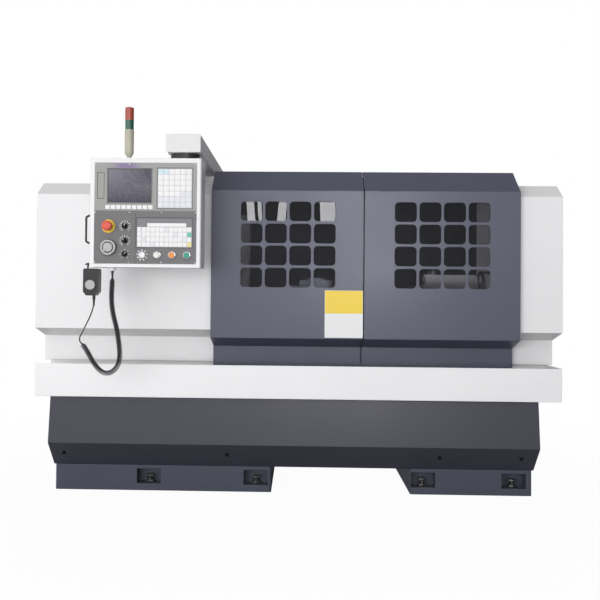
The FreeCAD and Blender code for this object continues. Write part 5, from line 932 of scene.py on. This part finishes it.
# The dials round the three knobs are bold white strokes printed on the panel, and each knob has
# a white line filled into its front.
knob_x = -0.772
stroke_front, stroke_back = -0.7804, -0.7798
tick_white = printed("tick_white", (0.86, 0.86, 0.84), 0.45)
strokes = bmesh.new()
knobs = (("feed_knob", 1.282, 11, 0.0252, 20), ("speed_knob", 1.217, 11, 0.0252, -35),
         ("mode_selector", 1.157, 7, 0.0225, 50))
for knob, knob_z, count, reach, lean in knobs:
    for index in range(count):
        angle = math.radians(-140 + 280 * index / (count - 1))
        add_sheet(strokes, (-0.0012, stroke_front, 0.0172), (0.0012, stroke_back, reach),
                  on_panel(knob_x, knob_z, angle))
make_piece("dial_strokes", strokes, "pendant", tick_white)
for knob, knob_z, count, reach, lean in knobs:
    line = bmesh.new()
    add_sheet(line, (-0.0011, -0.8006, 0.0018), (0.0011, -0.7960, 0.0108),
              on_panel(knob_x, knob_z, math.radians(lean)), edge=0.0002)
    make_piece(knob + "_line", line, knob, tick_white)

# Push buttons with turned and plated bezels. The key switch has a bezel of its own and a dark
# keyway between nine short white marks.
row_z = 1.153
bezel_y = -0.7864
bezel_metal = bright_metal("bezel_metal", (0.52, 0.52, 0.53), 0.22, (60.0, 60.0, 60.0), 0.02)
bezels = bmesh.new()
for bezel_x in (-0.627, -0.560, -0.493):
    add_turned(bezels, [(0.0, 0.0139), (0.0, 0.0164), (0.0012, 0.0182), (0.0035, 0.0184),
                        (0.0063, 0.0184), (0.0063, 0.0139)], "Y", (bezel_x, bezel_y, row_z),
               steps=40)
make_piece("button_bezels", bezels, "pendant", bezel_metal)
dress(bezel_metal, "key_switch")
key_x = -0.694
marks = bmesh.new()
for index in range(9):
    add_sheet(marks, (-0.0030, stroke_front, 0.0180), (0.0030, stroke_back, 0.0245),
              on_panel(key_x, row_z, math.pi / 4.5 * index))
make_piece("key_switch_marks", marks, "pendant", tick_white)
make_turned("key_switch_bezel", [(0.0, 0.0125), (0.0, 0.0150), (0.0010, 0.0164),
                                 (0.0063, 0.0164), (0.0063, 0.0125)], "Y",
            (key_x, bezel_y, row_z), "pendant", plated, steps=40)
for name, colour in (("white_button", (0.74, 0.74, 0.70)), ("orange_button", (0.78, 0.27, 0.06)),
                     ("green_button", (0.03, 0.30, 0.20))):
    dress(moulded(name + "_lens", colour, 0.24, size=1200.0, depth=0.02), name)

# ------------------------ bow handle and hook
# The bow handle is a black bar screwed to the pendant's side through two round feet. The bracket
# under it carries the hand unit.


def add_bar(shape, points, radius, steps=14):
    """A round bar bent along a line of points."""
    part = bmesh.new()
    across = Vector((0, 1, 0))
    rings = []
    for index, place in enumerate(points):
        ahead = points[min(index + 1, len(points) - 1)]
        heading = (ahead - points[max(index - 1, 0)]).normalized()
        across = (across - heading * across.dot(heading)).normalized()
        beside = heading.cross(across)
        angles = [2 * math.pi * step / steps for step in range(steps)]
        rings.append([part.verts.new(place + (across * math.cos(angle)
                                              + beside * math.sin(angle)) * radius)
                      for angle in angles])
    for near, far in zip(rings, rings[1:]):
        for step in range(steps):
            after = (step + 1) % steps
            part.faces.new((near[step], near[after], far[after], far[step]))
    part.faces.new(rings[0])
    part.faces.new(rings[-1])
    bmesh.ops.recalc_face_normals(part, faces=part.faces)
    add_part(shape, part)


bow_y = -0.708
bow_route = [(x, bow_y, z) for x, z in (
    (-0.9325, 1.345), (-0.958, 1.333), (-0.967, 1.329), (-0.967, 1.318), (-0.967, 1.227),
    (-0.967, 1.216), (-0.958, 1.212), (-0.9325, 1.200))]
bow = bmesh.new()
add_bar(bow, places_along(bow_route, 6), 0.0048)
for foot_z in (1.345, 1.200):
    add_turned(bow, [(0.0, 0.0), (0.0, 0.0075), (0.0030, 0.0085), (0.0045, 0.0085),
                     (0.0045, 0.0)], "X", (-0.9372, bow_y, foot_z), steps=24)
make_piece("bow_handle", bow, "pendant", black_plastic)
hook = bmesh.new()
add_block(hook, (-0.9392, -0.7402, 1.1078), (-0.9320, -0.7198, 1.1562), edge=0.0010)
add_block(hook, (-0.9612, -0.7442, 1.1078), (-0.9320, -0.7158, 1.1132), edge=0.0010)
make_piece("hand_unit_bracket", hook, "pendant", black_plastic)

# A black sleeve covers the pendant's swivel under the nose of the arm. Its black is partly painted
# shade, standing in for the shadow under the arm's nose.
make_turned("swivel_sleeve", [
    (0.0, 0.060), (0.0, 0.0655), (0.0015, 0.0668), (0.0085, 0.0668), (0.0100, 0.0664),
    (0.0115, 0.0668), (0.0185, 0.0668), (0.0200, 0.0664), (0.0215, 0.0668), (0.0275, 0.0668),
    (0.0290, 0.0655), (0.0290, 0.060)], "Z", (-0.517, -0.700, 1.589), "pendant", black_plastic,
    steps=64)

# ------------------------ signal tower
# Stack light on the pendant: a moulded beige tube on a turned foot, with a ribbed green lens and
# a red one screwed on top.
tower_x, tower_y = -0.776, -0.700
tower_body = moulded("tower_body", (0.47, 0.455, 0.365), 0.32, (0.5, 0.48, 0.38), 0.2,
                     size=1200.0, depth=0.04, uneven=0.05)
tower_tube = make_turned("tower_tube", [
    (0.0, 0.0), (0.0, 0.0088), (0.018, 0.0200), (0.020, 0.0210), (0.125, 0.0210),
    (0.128, 0.0200), (0.128, 0.0)], "Z", (tower_x, tower_y, 1.603), "pendant", tower_body)
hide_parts("signal_tower")
# The foot shares the arm's white, which is painted a shade darker than the covers as painted shade.
make_turned("tower_foot", [
    (0.0, 0.0), (0.0, 0.0135), (0.0020, 0.0145), (0.0040, 0.0135), (0.0060, 0.0100),
    (0.0160, 0.0085), (0.0160, 0.0)], "Z", (tower_x, tower_y, 1.588), "pendant", arm_white_painted_shade)


def lens(name, colour, low, high, cap):
    """One ribbed lens of the tower."""
    tall = high - low
    ribs = 9
    ring = [(0.0, 0.0)]
    for rib in range(ribs):
        ring += [(tall * rib / ribs, 0.0196), (tall * (rib + 0.5) / ribs, 0.0203)]
    ring += [(tall - cap, 0.0196), (tall - cap * 0.4, 0.0180), (tall, 0.0120), (tall, 0.0)]
    finish = moulded(name + "_plastic", colour, 0.16, size=900.0, depth=0.02, uneven=0.08,
                     edge=0.0006)
    finish.node_tree.nodes["Principled BSDF"].inputs["Coat Weight"].default_value = 1.0
    make_turned(name, ring, "Z", (tower_x, tower_y, low), "pendant", finish)


lens("green_lens", (0.006, 0.100, 0.064), 1.731, 1.775, 0.0)
lens("red_lens", (0.40, 0.060, 0.026), 1.775, 1.835, 0.008)
